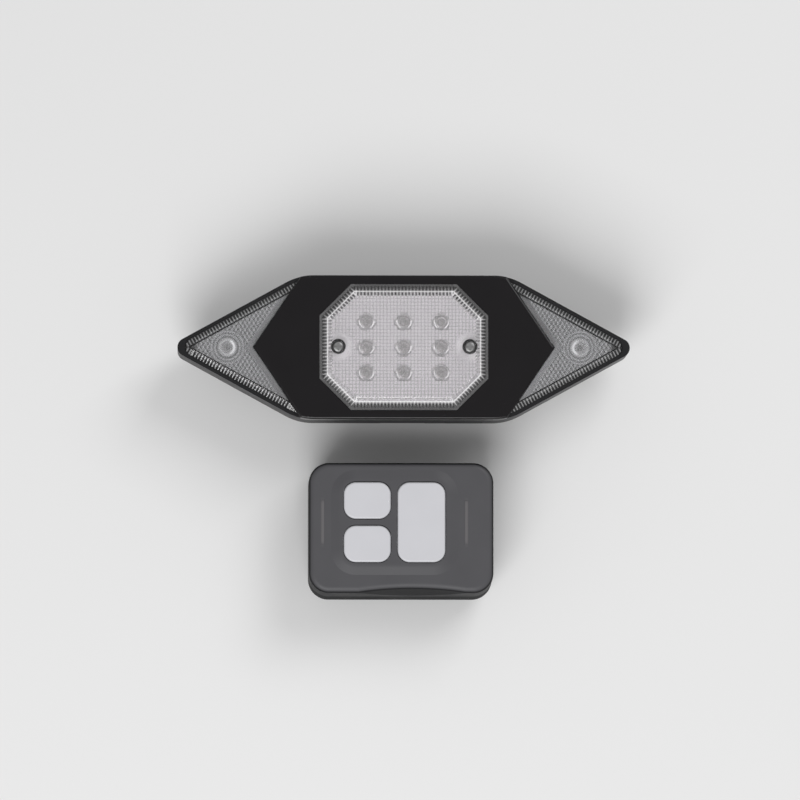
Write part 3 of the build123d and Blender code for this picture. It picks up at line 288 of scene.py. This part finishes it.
epoxy, shader = surface(
    "clear_epoxy", (0.74, 0.72, 0.73), roughness=0.06, Transmission_Weight=0.96, IOR=1.5,
)
let_lamps_in(epoxy, shader, share=0.85)
dress(epoxy, "centre_leds", "wing_leds")

flange_radius = 2.9 * mm
led_low, led_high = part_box("centre_leds")
led_middle = (led_low + led_high) / 2
led_column = (led_high.x - led_low.x) / 2 - flange_radius
led_row = (led_high.y - led_low.y) / 2 - flange_radius
led_places = [
    Vector((led_middle.x + column * led_column, led_middle.y + row * led_row, led_low.z))
    for row in (-1, 0, 1) for column in (-1, 0, 1)
]
wing_led_low, wing_led_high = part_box("wing_leds")
wing_led_places = [
    Vector((x, (wing_led_low.y + wing_led_high.y) / 2, wing_led_low.z))
    for x in (wing_led_low.x + flange_radius, wing_led_high.x - flange_radius)
]
# Radius and height of each corner of the cup, and how far beside it each post stands and how
# high it is, all in millimetres.
cup_profile = [(0, 3.4), (0.5, 3.6), (0.62, 4.2), (1.05, 5.2), (0.9, 5.2), (0.4, 4.6), (0, 4.6)]
cup_sides = 16
post_width = 0.5
posts = [(0, 3.5), (1.27, 4.9)]
frames = bmesh.new()
for place in led_places + wing_led_places:
    turned(frames, [(radius * mm, height * mm) for radius, height in cup_profile], place, cup_sides)
    for offset, height in posts:
        post = bmesh.ops.create_cube(frames, size=1)["verts"]
        bmesh.ops.scale(frames, verts=post, vec=Vector((post_width, post_width, height)) * mm)
        bmesh.ops.translate(frames, verts=post, vec=place + Vector((offset, 0, height / 2)) * mm)
bmesh.ops.remove_doubles(frames, verts=frames.verts, dist=0.001 * mm)
silver = plated(
    "lead_silver", (0.42, 0.41, 0.40), roughness=0.3, line=0.2 * mm, depth=0.004 * mm, axis="Z",
)
finished("led_lead_frames", frames, "light", silver, crease=40)


# Bezel and seal. The centre cover of the light, injection moulded in black ABS in a polished
# tool, so its face is glossy, with chevron ends that overlap the wing lenses. A gasket of grey
# silicone lies between it and the centre lens.
bezel_gloss = moulded(
    "bezel_gloss", (0.0075, 0.0065, 0.0075), roughness=0.2, grain=6 * mm, depth=0.02 * mm, mottle=0.1,
    Specular_IOR_Level=0.35,
)
dress(bezel_gloss, "front_bezel")
silicone = moulded("seal_silicone", (0.12, 0.12, 0.12), roughness=0.5, grain=0.4 * mm, depth=0.02 * mm)
dress(silicone, "centre_lens_seal")


# Lenses. Clear polycarbonate with prism ribs along the bevels, and on the centre lens a second
# row on its inner step and a smooth ridge between. The centre lens stands proud of the bezel,
# held by two screws in recesses; the wing ones are glued into the housing's rims.
def clear_plastic(name, tint, roughness, clearness, depth):
    """Clear moulded plastic, a little hazy, with the slow waviness of a thin moulding."""
    ripple_size = 2 * mm
    material, shader = surface(name, tint, roughness, Transmission_Weight=clearness, IOR=1.5)
    tree = material.node_tree
    relief(tree, shader, noise(tree, object_place(tree), 1 / ripple_size, detail=2), depth)
    let_lamps_in(material, shader, share=0.9)
    return material, shader


def reckon(tree, operation, *terms):
    """One sum, on numbers and on other nodes' outputs."""
    node = join(tree, "ShaderNodeMath", operation=operation)
    for socket, term in zip(node.inputs, terms):
        if isinstance(term, (int, float)):
            socket.default_value = term
        else:
            tree.links.new(term, socket)
    return node.outputs["Value"]


def between(tree, value, low, high, soft):
    """1 inside a stretch of a value and 0 outside, with soft ends."""
    begun = ramp(tree, value, 0, 1, low - soft, low + soft, "SMOOTHSTEP")
    not_ended = ramp(tree, value, 0, 1, high + soft, high - soft, "SMOOTHSTEP")
    return reckon(tree, "MULTIPLY", begun, not_ended)


def chosen(tree, share, first, second):
    """The first value where the share is 0, and the second where it is 1."""
    change = reckon(tree, "SUBTRACT", second, first)
    return reckon(tree, "ADD", first, reckon(tree, "MULTIPLY", share, change))


def off_middle(tree, middle):
    """How far a point lies to the right of a middle, and how far above it."""
    parts = join(tree, "ShaderNodeSeparateXYZ", [("Vector", object_place(tree))]).outputs
    return reckon(tree, "SUBTRACT", parts["X"], middle.x), reckon(tree, "SUBTRACT", parts["Y"], middle.y)


def unsigned(tree, *values):
    """The same values without their signs."""
    return [reckon(tree, "ABSOLUTE", value) for value in values]


def wave(tree, turns):
    """A smooth wave of whole turns: 1 in the middle of a groove, 0 on a rib's crest."""
    angle = reckon(tree, "MULTIPLY", turns, math.tau)
    return reckon(tree, "MULTIPLY_ADD", reckon(tree, "COSINE", angle), 0.5, 0.5)


def shade_relief(tree, shader, groove, crest, groove_shade, highlight_haze):
    """Painted shade: grooves get a darker colour in place of the light they turn aside; what stands out
    gets a painted highlight of haze.
    """
    tint = tuple(shader.inputs["Base Color"].default_value)[:3]
    clearness = shader.inputs["Transmission Weight"].default_value
    tree.links.new(blended(tree, groove, tint, groove_shade), shader.inputs["Base Color"])
    clearing = reckon(tree, "MULTIPLY_ADD", crest, -highlight_haze, clearness)
    tree.links.new(clearing, shader.inputs["Transmission Weight"])


lens_low, lens_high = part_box("centre_lens")
lens_middle = (lens_low + lens_high) / 2
half_width = (lens_high.x - lens_low.x) / 2
half_height = (lens_high.y - lens_low.y) / 2
lens_corner = 11.5 * mm
slant = 1 / math.sqrt(2)
corner_reach = (half_width + half_height - lens_corner) * slant
corner_middle = (half_width - half_height) * slant
screw_reach = 24 * mm
rib_pitch = 1.25 * mm
step_edge = 2.9 * mm
# Each band starts and stops at a distance from the lens's side, or for a recess from the
# screw's middle. Its third number is how soft its two edges are.
bevel_band = (1.0 * mm, 2.65 * mm, 0.12 * mm)
ridge_band = (2.62 * mm, 3.12 * mm, 0.08 * mm)
step_band = (3.15 * mm, 4.5 * mm, 0.15 * mm)
recess_shade_band = (1.9 * mm, 2.74 * mm, 0.08 * mm)
# The crests' painted highlight of haze reaches this share, growing across the next pair of distances in
# from the side.
crest_highlight_peak = 0.7
crest_rise = (0.8 * mm, 2.8 * mm)
# The inner step's painted shade and highlight are full at the top of the lens and fade towards its lower
# side, following how the light falls.
faint_lower_step_shade = 0.3
step_shade_rise = (0, 0.8 * half_height)


def lens_ribs(tree):
    """Where the centre lens is painted with shade in its grooves and with a highlight on its crests and
    ridge, from 0 to 1, along all eight sides.
    """
    x, y = off_middle(tree, lens_middle)
    across, up = unsigned(tree, x, y)
    from_end = reckon(tree, "SUBTRACT", half_width, across)
    from_flat = reckon(tree, "SUBTRACT", half_height, up)
    from_straight = reckon(tree, "MINIMUM", from_end, from_flat)
    diagonal = reckon(tree, "MULTIPLY", reckon(tree, "ADD", across, up), slant)
    from_corner = reckon(tree, "SUBTRACT", corner_reach, diagonal)
    inset = reckon(tree, "MINIMUM", from_straight, from_corner)

    on_end = reckon(tree, "LESS_THAN", from_end, from_flat)
    on_corner = reckon(tree, "LESS_THAN", from_corner, from_straight)
    on_step = reckon(tree, "GREATER_THAN", inset, step_edge)
    straight_turns = reckon(tree, "MULTIPLY_ADD", chosen(tree, on_end, x, y), 1 / rib_pitch, 0.5)
    corner_run = reckon(tree, "MULTIPLY", reckon(tree, "SUBTRACT", across, up), slant)
    corner_run = reckon(tree, "SUBTRACT", corner_run, corner_middle)
    corner_turns = reckon(tree, "DIVIDE", corner_run, rib_pitch)
    corner_turns = reckon(tree, "ADD", corner_turns, reckon(tree, "MULTIPLY", on_step, 0.5))
    ribs = wave(tree, chosen(tree, on_corner, straight_turns, corner_turns))

    step = between(tree, inset, *step_band)
    # Painted shade and highlight on the step: full at the top, faint towards the bottom.
    step = reckon(tree, "MULTIPLY", step, ramp(tree, y, faint_lower_step_shade, 1, *step_shade_rise, "SMOOTHSTEP"))
    ribbed = reckon(tree, "MAXIMUM", between(tree, inset, *bevel_band), step)
    # A ring round each screw is painted dark, as painted shade in its recess.
    beside = reckon(tree, "SUBTRACT", across, screw_reach)
    squares = reckon(tree, "MULTIPLY_ADD", beside, beside, reckon(tree, "MULTIPLY", y, y))
    recess_shade = between(tree, reckon(tree, "POWER", squares, 0.5), *recess_shade_band)
    groove = reckon(tree, "MAXIMUM", reckon(tree, "MULTIPLY", ribs, ribbed), recess_shade)
    crest = reckon(tree, "MULTIPLY", reckon(tree, "SUBTRACT", 1, ribs), ribbed)
    crest = reckon(tree, "MULTIPLY", crest, ramp(tree, inset, 0, crest_highlight_peak, *crest_rise))
    return groove, reckon(tree, "MAXIMUM", crest, between(tree, inset, *ridge_band))


lens_plastic, shader = clear_plastic(
    "clear_lens_ribbed", (0.95, 0.94, 0.95), roughness=0.08, clearness=0.91, depth=0.015 * mm,
)
tree = lens_plastic.node_tree
groove, crest = lens_ribs(tree)
# The grooves are painted dark as painted shade; the crests and the ridge get a painted highlight of haze.
shade_relief(tree, shader, groove, crest, groove_shade=(0.08, 0.08, 0.08), highlight_haze=0.6)
dress(lens_plastic, "centre_lens")

# The long sides of a wing slope at this angle, and would meet at the vertex, off the middle.
wing_slope = math.radians(28.77)
wing_vertex = 86.16 * mm
wing_rib_pitch = 1.2 * mm
bevel_start = 1.45 * mm
first_groove = 26.4 * mm
wing_bevel_band = (1.5 * mm, 3.5 * mm, 0.15 * mm)
wing_shade_line_band = (3.62 * mm, 4.08 * mm, 0.06 * mm)


def wing_ribs(tree):
    """The same for a wing lens, along its two long sides, with a line of painted shade at the bevel's
    foot.
    """
    across, up = unsigned(tree, *off_middle(tree, lens_middle))
    short = reckon(tree, "SUBTRACT", wing_vertex, across)
    inset = reckon(tree, "MULTIPLY", up, -math.cos(wing_slope))
    inset = reckon(tree, "MULTIPLY_ADD", short, math.sin(wing_slope), inset)
    run = reckon(tree, "MULTIPLY", up, math.sin(wing_slope))
    run = reckon(tree, "MULTIPLY_ADD", short, math.cos(wing_slope), run)
    run = reckon(tree, "SUBTRACT", run, bevel_start / math.tan(wing_slope) + first_groove)
    ribs = wave(tree, reckon(tree, "DIVIDE", run, wing_rib_pitch))
    ribbed = between(tree, inset, *wing_bevel_band)
    line = between(tree, inset, *wing_shade_line_band)
    groove = reckon(tree, "MAXIMUM", reckon(tree, "MULTIPLY", ribs, ribbed), line)
    return groove, reckon(tree, "MULTIPLY", reckon(tree, "SUBTRACT", 1, ribs), ribbed)


wing_plastic, shader = clear_plastic(
    "clear_wing_ribbed", (0.88, 0.88, 0.89), roughness=0.1, clearness=0.93, depth=0.015 * mm,
)
tree = wing_plastic.node_tree
groove, crest = wing_ribs(tree)
# The grooves and the line at the bevel's foot are painted dark as painted shade; the crests get a painted
# highlight of haze.
shade_relief(tree, shader, groove, crest, groove_shade=(0.10, 0.10, 0.10), highlight_haze=0.22)
dress(wing_plastic, "left_wing_lens", "right_wing_lens")


# Waffle insert. A thin clear sheet under the centre lens, pressed on its underside into small
# pillows that spread the light. It is smooth by the screws and over the LEDs, where each has a
# dimple and a raised curved lip below it. Its colour is painted darker in the grooves and
# dimples as painted shade, and the lips carry a painted highlight of haze.
def patterned(name, tint, groove_shade, ground, highlight_haze):
    """Clear sheet with painted shade where its pattern is pressed in, and a painted highlight of haze
    where it stands out.
    """
    material, shader = clear_plastic(name, tint, roughness=0.1, clearness=0.97, depth=0.01 * mm)
    tree = material.node_tree
    depth = join(tree, "ShaderNodeAttribute", attribute_name="pressed").outputs["Fac"]
    standing = reckon(tree, "MAXIMUM", reckon(tree, "SUBTRACT", ground, depth), 0)
    shade_relief(tree, shader, depth, standing, groove_shade, highlight_haze)
    return material


def press(piece, low, height, pattern):
    """Presses a pattern into a sheet's underside, and keeps its depth at every point as an attribute."""
    mesh = piece.data
    kept = mesh.attributes.new("pressed", "FLOAT", "POINT")
    for vertex in mesh.vertices:
        depth = pattern(vertex.co.x, vertex.co.y)
        kept.data[vertex.index].value = depth
        if vertex.co.z < low + height / 2:
            vertex.co.z = low + height * depth


def fade(value, start, stop):
    """Runs smoothly from 0 at start to 1 at stop."""
    share = min(max((value - start) / (stop - start), 0), 1)
    return share * share * (3 - 2 * share)


def trim(form, limits):
    """Cuts off what lies beyond each limit: a point, and the way outwards from there."""
    for point, outward in limits:
        bmesh.ops.bisect_plane(
            form, geom=form.verts[:] + form.edges[:] + form.faces[:], dist=0.001 * mm,
            plane_co=point, plane_no=outward, clear_outer=True,
        )


def thicken(form, depth):
    """Makes a flat sheet solid, down to a depth below its top."""
    lower = bmesh.ops.extrude_face_region(form, geom=form.faces[:], use_keep_orig=True)["geom"]
    lower = [part for part in lower if isinstance(part, bmesh.types.BMVert)]
    bmesh.ops.translate(form, verts=lower, vec=(0, 0, -depth))


sheet_inset = 3.5 * mm
face_thickness = 2.0 * mm
sheet_gap = 0.02 * mm
sheet_depth = 0.18 * mm
sheet_top = lens_high.z - face_thickness - sheet_gap
waffle_pitch = 1.25 * mm
waffle_height = 0.08 * mm
pillow_steps = 4
columns = math.ceil(half_width / waffle_pitch)
rows = math.ceil(half_height / waffle_pitch)
waffle = bmesh.new()
bmesh.ops.create_grid(
    waffle, x_segments=2 * pillow_steps * columns, y_segments=2 * pillow_steps * rows, size=1,
)
bmesh.ops.scale(waffle, verts=waffle.verts, vec=(columns * waffle_pitch, rows * waffle_pitch, 1))
eight_sides = []
for turn, reach in enumerate((half_width, corner_reach, half_height, corner_reach) * 2):
    outward = Vector((math.cos(turn * math.tau / 8), math.sin(turn * math.tau / 8), 0))
    eight_sides.append((outward * (reach - sheet_inset), outward))
trim(waffle, eight_sides)

screw_clear = 3.9 * mm
screw_spots = [Vector((side * screw_reach, 0, 0)) for side in (-1, 1)]
near_edge = 0.55 * waffle_pitch / pillow_steps
for vertex in waffle.verts:
    for spot in screw_spots:
        spoke = vertex.co - spot
        if abs(spoke.length - screw_clear) < near_edge:
            vertex.co = spot + spoke.normalized() * screw_clear
inside = [
    face for face in waffle.faces
    if min((face.calc_center_median() - spot).length for spot in screw_spots) < screw_clear
]
bmesh.ops.delete(waffle, geom=inside, context="FACES")
bmesh.ops.delete(waffle, geom=[v for v in waffle.verts if not v.link_faces], context="VERTS")
bmesh.ops.translate(waffle, verts=waffle.verts, vec=(lens_middle.x, lens_middle.y, sheet_top))
thicken(waffle, sheet_depth)

# Each pair of distances is where a form of the pattern begins to change and where it is done,
# measured from the middle of an LED or a screw. Depths and heights are shares of waffle_height.
led_window = (2.3 * mm, 2.9 * mm)
screw_window = (4.2 * mm, 6.0 * mm)
flat_rows = 0.6
dimple_edge = (0.3 * mm, 1.9 * mm)
dimple_depth = 0.7
lip_inner = (2.3 * mm, 2.6 * mm)
lip_outer = (2.75 * mm, 3.1 * mm)
lip_sideways = (0.3 * mm, 1.7 * mm)
lip_downward = (-1.4 * mm, 0)
lip_height = 0.52


def waffle_pattern(x, y):
    """0 on a pillow's top and 1 in the grooves, with windows, dimples and raised lips."""
    pillow = abs(math.sin(math.pi * (x - lens_middle.x) / waffle_pitch))
    pillow *= abs(math.sin(math.pi * (y - lens_middle.y) / waffle_pitch)) ** flat_rows
    led = min(led_places, key=lambda place: math.hypot(x - place.x, y - place.y))
    from_led = math.hypot(x - led.x, y - led.y)
    from_screw = min(math.hypot(x - spot.x, y - lens_middle.y) for spot in screw_spots)
    window = fade(from_led, *led_window) * fade(from_screw, *screw_window)
    dimple = dimple_depth * (1 - fade(from_led, *dimple_edge))
    lip = fade(from_led, *lip_inner) * (1 - fade(from_led, *lip_outer))
    lip *= fade(abs(x - led.x), *lip_sideways) * fade(led.y - y, *lip_downward)
    return (1 - math.sqrt(pillow)) * window * (1 - lip) + dimple - lip_height * lip


waffle_clear = patterned("waffle_clear", (0.97, 0.96, 0.97), groove_shade=(0.58, 0.57, 0.58), ground=0, highlight_haze=0.9)
waffle_sheet = finished("waffle_insert", waffle, "light", waffle_clear)
press(waffle_sheet, sheet_top - sheet_depth, waffle_height, waffle_pattern)


# Wing inserts. Clear sheets under the wing lenses, pressed with rows of dots. Round each LED are
# rings that throw its light outwards, a dimple, and a raised arc on the inner side. The dots,
# rings and dimple are painted dark as painted shade; the ground, and most of all the arc, carry a
# painted highlight of haze.
wing_inset = 3.5 * mm
chevron_angle = math.radians(56)
chevron_vertex = 55.0 * mm
chevron_inset = 2.1 * mm
tip_cut = 75.5 * mm
wing_face_thickness = 1.7 * mm
_, wing_lens_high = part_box("right_wing_lens")
wing_top = wing_lens_high.z - wing_face_thickness - sheet_gap
wing_sheet_depth = 0.3 * mm
wing_height = 0.02 * mm
dot_pitch = 1.6 * mm
dot_row_pitch = 0.8 * dot_pitch

# Pairs are read as in the waffle, all from the middle of the wing's LED. Depths and heights are
# shares of wing_height.
dots_start = (5.6 * mm, 7.1 * mm)
ring_pitch = 1.3 * mm
ring_ground = 0.2
ring_depth = 0.5
rings_start = (2.6 * mm, 3.6 * mm)
wide_dimple_edge = (2.0 * mm, 2.7 * mm)
wide_dimple_depth = 0.35
small_dimple_edge = (0.5 * mm, 1.6 * mm)
small_dimple_depth = 0.3
arc_inner = (1.9 * mm, 2.2 * mm)
arc_outer = (2.6 * mm, 3.0 * mm)
arc_inboard = (0.2 * mm, 1.6 * mm)
arc_height = 1.7


def wing_pattern(x, y):
    """0 on the sheet's ground and 1 at the middle of a dot, with rings, a dimple and a raised arc."""
    led = min(wing_led_places, key=lambda place: abs(place.x - x))
    from_led = math.hypot(x - led.x, y - led.y)
    dots = math.cos(math.tau * (x - led.x) / dot_pitch) * math.cos(math.pi * (y - led.y) / dot_row_pitch)
    dots = 0.5 + 0.5 * dots
    rings = 0.5 + 0.5 * math.cos(math.tau * from_led / ring_pitch)
    rings = (ring_ground + ring_depth * rings) * fade(from_led, *rings_start)
    dotted = fade(from_led, *dots_start)
    dimple = wide_dimple_depth * (1 - fade(from_led, *wide_dimple_edge))
    dimple += small_dimple_depth * (1 - fade(from_led, *small_dimple_edge))
    arc = fade(from_led, *arc_inner) * (1 - fade(from_led, *arc_outer))
    arc *= fade(abs(led.x) - abs(x), *arc_inboard)
    return rings * (1 - dotted) + dots * dotted + dimple - arc_height * arc


wing_clear = patterned("wing_clear", (0.95, 0.95, 0.96), groove_shade=(0.02, 0.02, 0.025), ground=1, highlight_haze=0.15)
grid_step = 0.26 * mm
grid_start = chevron_vertex / 2
grid_half_length = (wing_vertex - grid_start) / 2
grid_half_breadth = 13.5 * mm
side_outward = Vector((math.sin(wing_slope), math.cos(wing_slope), 0))
chevron_outward = Vector((-math.sin(chevron_angle), -math.cos(chevron_angle), 0))
wing_limits = [
    (Vector((wing_vertex, 0, 0)) - side_outward * wing_inset, side_outward),
    (Vector((chevron_vertex, 0, 0)) - chevron_outward * chevron_inset, chevron_outward),
    (Vector((tip_cut, 0, 0)), Vector((1, 0, 0))),
]
for side, name in ((-1, "left_wing_insert"), (1, "right_wing_insert")):
    wing = bmesh.new()
    bmesh.ops.create_grid(
        wing, x_segments=round(2 * grid_half_length / grid_step),
        y_segments=round(2 * grid_half_breadth / grid_step), size=1,
    )
    bmesh.ops.scale(wing, verts=wing.verts, vec=(grid_half_length, grid_half_breadth, 1))
    bmesh.ops.translate(wing, verts=wing.verts, vec=(grid_start + grid_half_length, grid_half_breadth, 0))
    trim(wing, wing_limits)
    bmesh.ops.mirror(
        wing, geom=wing.verts[:] + wing.edges[:] + wing.faces[:], axis="Y", merge_dist=0.01 * mm,
    )
    bmesh.ops.scale(wing, verts=wing.verts, vec=(side, 1, 1))
    bmesh.ops.translate(wing, verts=wing.verts, vec=(lens_middle.x, lens_middle.y, wing_top))
    thicken(wing, wing_sheet_depth)
    wing_sheet = finished(name, wing, "light", wing_clear)
    press(wing_sheet, wing_top - wing_sheet_depth, wing_height, wing_pattern)


# Screws and cell contacts. Cross-head self-tapping screws, nickel plated: two long, darker ones
# through the centre lens, four from the back into the bezel, and four small ones in the remote.
# The contacts are stamped plates with the same plating.
screw_nickel = plated(
    "screw_nickel", (0.42, 0.42, 0.43), roughness=0.3, line=0.15 * mm, depth=0.01 * mm, axis="X",
)
dress(screw_nickel, "housing_screws", "remote_screws", "cell_contacts")
screw_dark = plated(
    "screw_dark", (0.34, 0.34, 0.34), roughness=0.42, line=0.15 * mm, depth=0.012 * mm, axis="X",
)
dress(screw_dark, "lens_screws")


# Remote shells and battery door. Two halves and a sliding door in black ABS. The cover's face
# has a satin grey finish. Its sides, where they turn down, are painted near black as painted
# shade, and the two raised lines beside the keys are painted paler as a painted highlight.
remote_black_and_side_shade = (0.006, 0.006, 0.007)
painted_highlight_grey = (0.125, 0.12, 0.125)
side_upright, face_upright = 0.5, 0.85
side_gloss, face_gloss = 0.08, 0.30
line_offset = 6.9 * mm
line_half_width = 0.6 * mm
line_half_length = 8 * mm
line_soft = 0.25 * mm
line_end_soft = 1.5 * mm
remote_satin = moulded(
    "remote_satin", (0.078, 0.077, 0.083), roughness=0.45, grain=0.25 * mm, depth=0.012 * mm, mottle=0.06,
)
tree = remote_satin.node_tree
shader = tree.nodes["Principled BSDF"]
facing = join(tree, "ShaderNodeTexCoord").outputs["Normal"]
upright = join(tree, "ShaderNodeSeparateXYZ", [("Vector", facing)]).outputs["Z"]
on_face = ramp(tree, upright, 0, 1, side_upright, face_upright, "SMOOTHSTEP")
key_low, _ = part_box("lower_key")
_, key_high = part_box("tall_key")
across, up = unsigned(tree, *off_middle(tree, (key_low + key_high) / 2))
line_reach = (key_high.x - key_low.x) / 2 + line_offset
line_sides = (line_reach - line_half_width, line_reach + line_half_width)
within_sides = between(tree, across, *line_sides, line_soft)
within_ends = between(tree, up, -line_half_length, line_half_length, line_end_soft)
on_highlight_line = reckon(tree, "MULTIPLY", within_sides, within_ends)
satin_colour = shader.inputs["Base Color"].links[0].from_socket
# The two raised lines beside the keys are painted paler as a painted highlight.
face_colour_with_highlight = blended(tree, on_highlight_line, satin_colour, painted_highlight_grey)
# The cover's sides are painted near black as painted shade, where they turn down out of the light.
tree.links.new(blended(tree, on_face, remote_black_and_side_shade, face_colour_with_highlight), shader.inputs["Base Color"])
gloss = reckon(tree, "MULTIPLY_ADD", on_face, face_gloss - side_gloss, side_gloss)
tree.links.new(gloss, shader.inputs["Specular IOR Level"])
dress(remote_satin, "remote_front_shell")
remote_back = moulded(
    "remote_back", remote_black_and_side_shade, roughness=0.6, grain=0.25 * mm, depth=0.02 * mm,
    Specular_IOR_Level=side_gloss,
)
dress(remote_back, "remote_back_shell", "battery_door")


# Keys. Three blank keys moulded in pale grey plastic, smooth to the touch, that stand a little
# proud of the cover and press the switches under them.
key_satin = moulded(
    "key_satin", (0.60, 0.60, 0.63), roughness=0.35, grain=0.3 * mm, depth=0.006 * mm, mottle=0.03,
)
dress(key_satin, "upper_key", "lower_key", "tall_key")


# Cells. Two AAA cells in plain metal sleeves, side by side and end for end, held between the
# contacts at the ends of their bay.
cell_sleeve = plated(
    "cell_sleeve", (0.55, 0.52, 0.30), roughness=0.35, line=0.4 * mm, depth=0.01 * mm, axis="X",
)
dress(cell_sleeve, "remote_cells")


# Studio. A plain pale floor, a large soft lamp at the lower left, a weaker one at the upper right
# and a dim even surround.
floor_reach = 3
floor_mesh = bpy.data.meshes.new("floor")
floor_form = bmesh.new()
bmesh.ops.create_grid(floor_form, x_segments=2, y_segments=2, size=floor_reach)
floor_form.to_mesh(floor_mesh)
floor_form.free()
floor = bpy.data.objects.new("floor", floor_mesh)
bpy.context.scene.collection.objects.link(floor)
floor_paint, _ = surface("floor_paint", (0.80, 0.80, 0.80), roughness=0.8)
floor_mesh.materials.append(floor_paint)


def softbox(name, place, size, power):
    """A square lamp that faces the object."""
    lamp = bpy.data.lights.new(name, "AREA")
    lamp.size = size
    lamp.energy = power
    holder = bpy.data.objects.new(name, lamp)
    holder.location = place
    holder.rotation_euler = (-Vector(place)).to_track_quat("-Z", "Y").to_euler()
    bpy.context.scene.collection.objects.link(holder)


softbox("key_lamp", place=(-0.35, -1.1, 1.4), size=1.2, power=21)
softbox("fill_lamp", place=(0.7, 0.8, 1.2), size=0.8, power=8)
surround_strength = 0.34
world = bpy.data.worlds.new("surround")
world.use_nodes = True
world.node_tree.nodes["Background"].inputs["Color"].default_value = (1, 1, 1, 1)
world.node_tree.nodes["Background"].inputs["Strength"].default_value = surround_strength
bpy.context.scene.world = world


# Camera. Nearly straight above, leaning a little to the foot and to the left, at the
# photograph's framing.
aim_point = Vector((-1.4, 13.05, 36)) * mm
camera_distance = 3.0
lean_down = math.radians(4)
lean_left = math.radians(1.5)
view_width = 291.5 * mm
sensor = 36
camera_data = bpy.data.cameras.new("camera")
camera_data.sensor_width = sensor
camera_data.lens = sensor * camera_distance / view_width
camera = bpy.data.objects.new("camera", camera_data)
direction = Vector((-math.sin(lean_left), -math.sin(lean_down), 1)).normalized()
camera.location = aim_point + direction * camera_distance
right = Vector((0, 1, 0)).cross(direction).normalized()
upward = direction.cross(right)
camera.rotation_euler = Matrix((right, upward, direction)).transposed().to_euler()
bpy.context.scene.collection.objects.link(camera)
bpy.context.scene.camera = camera
bpy.context.scene.view_settings.view_transform = "Standard"
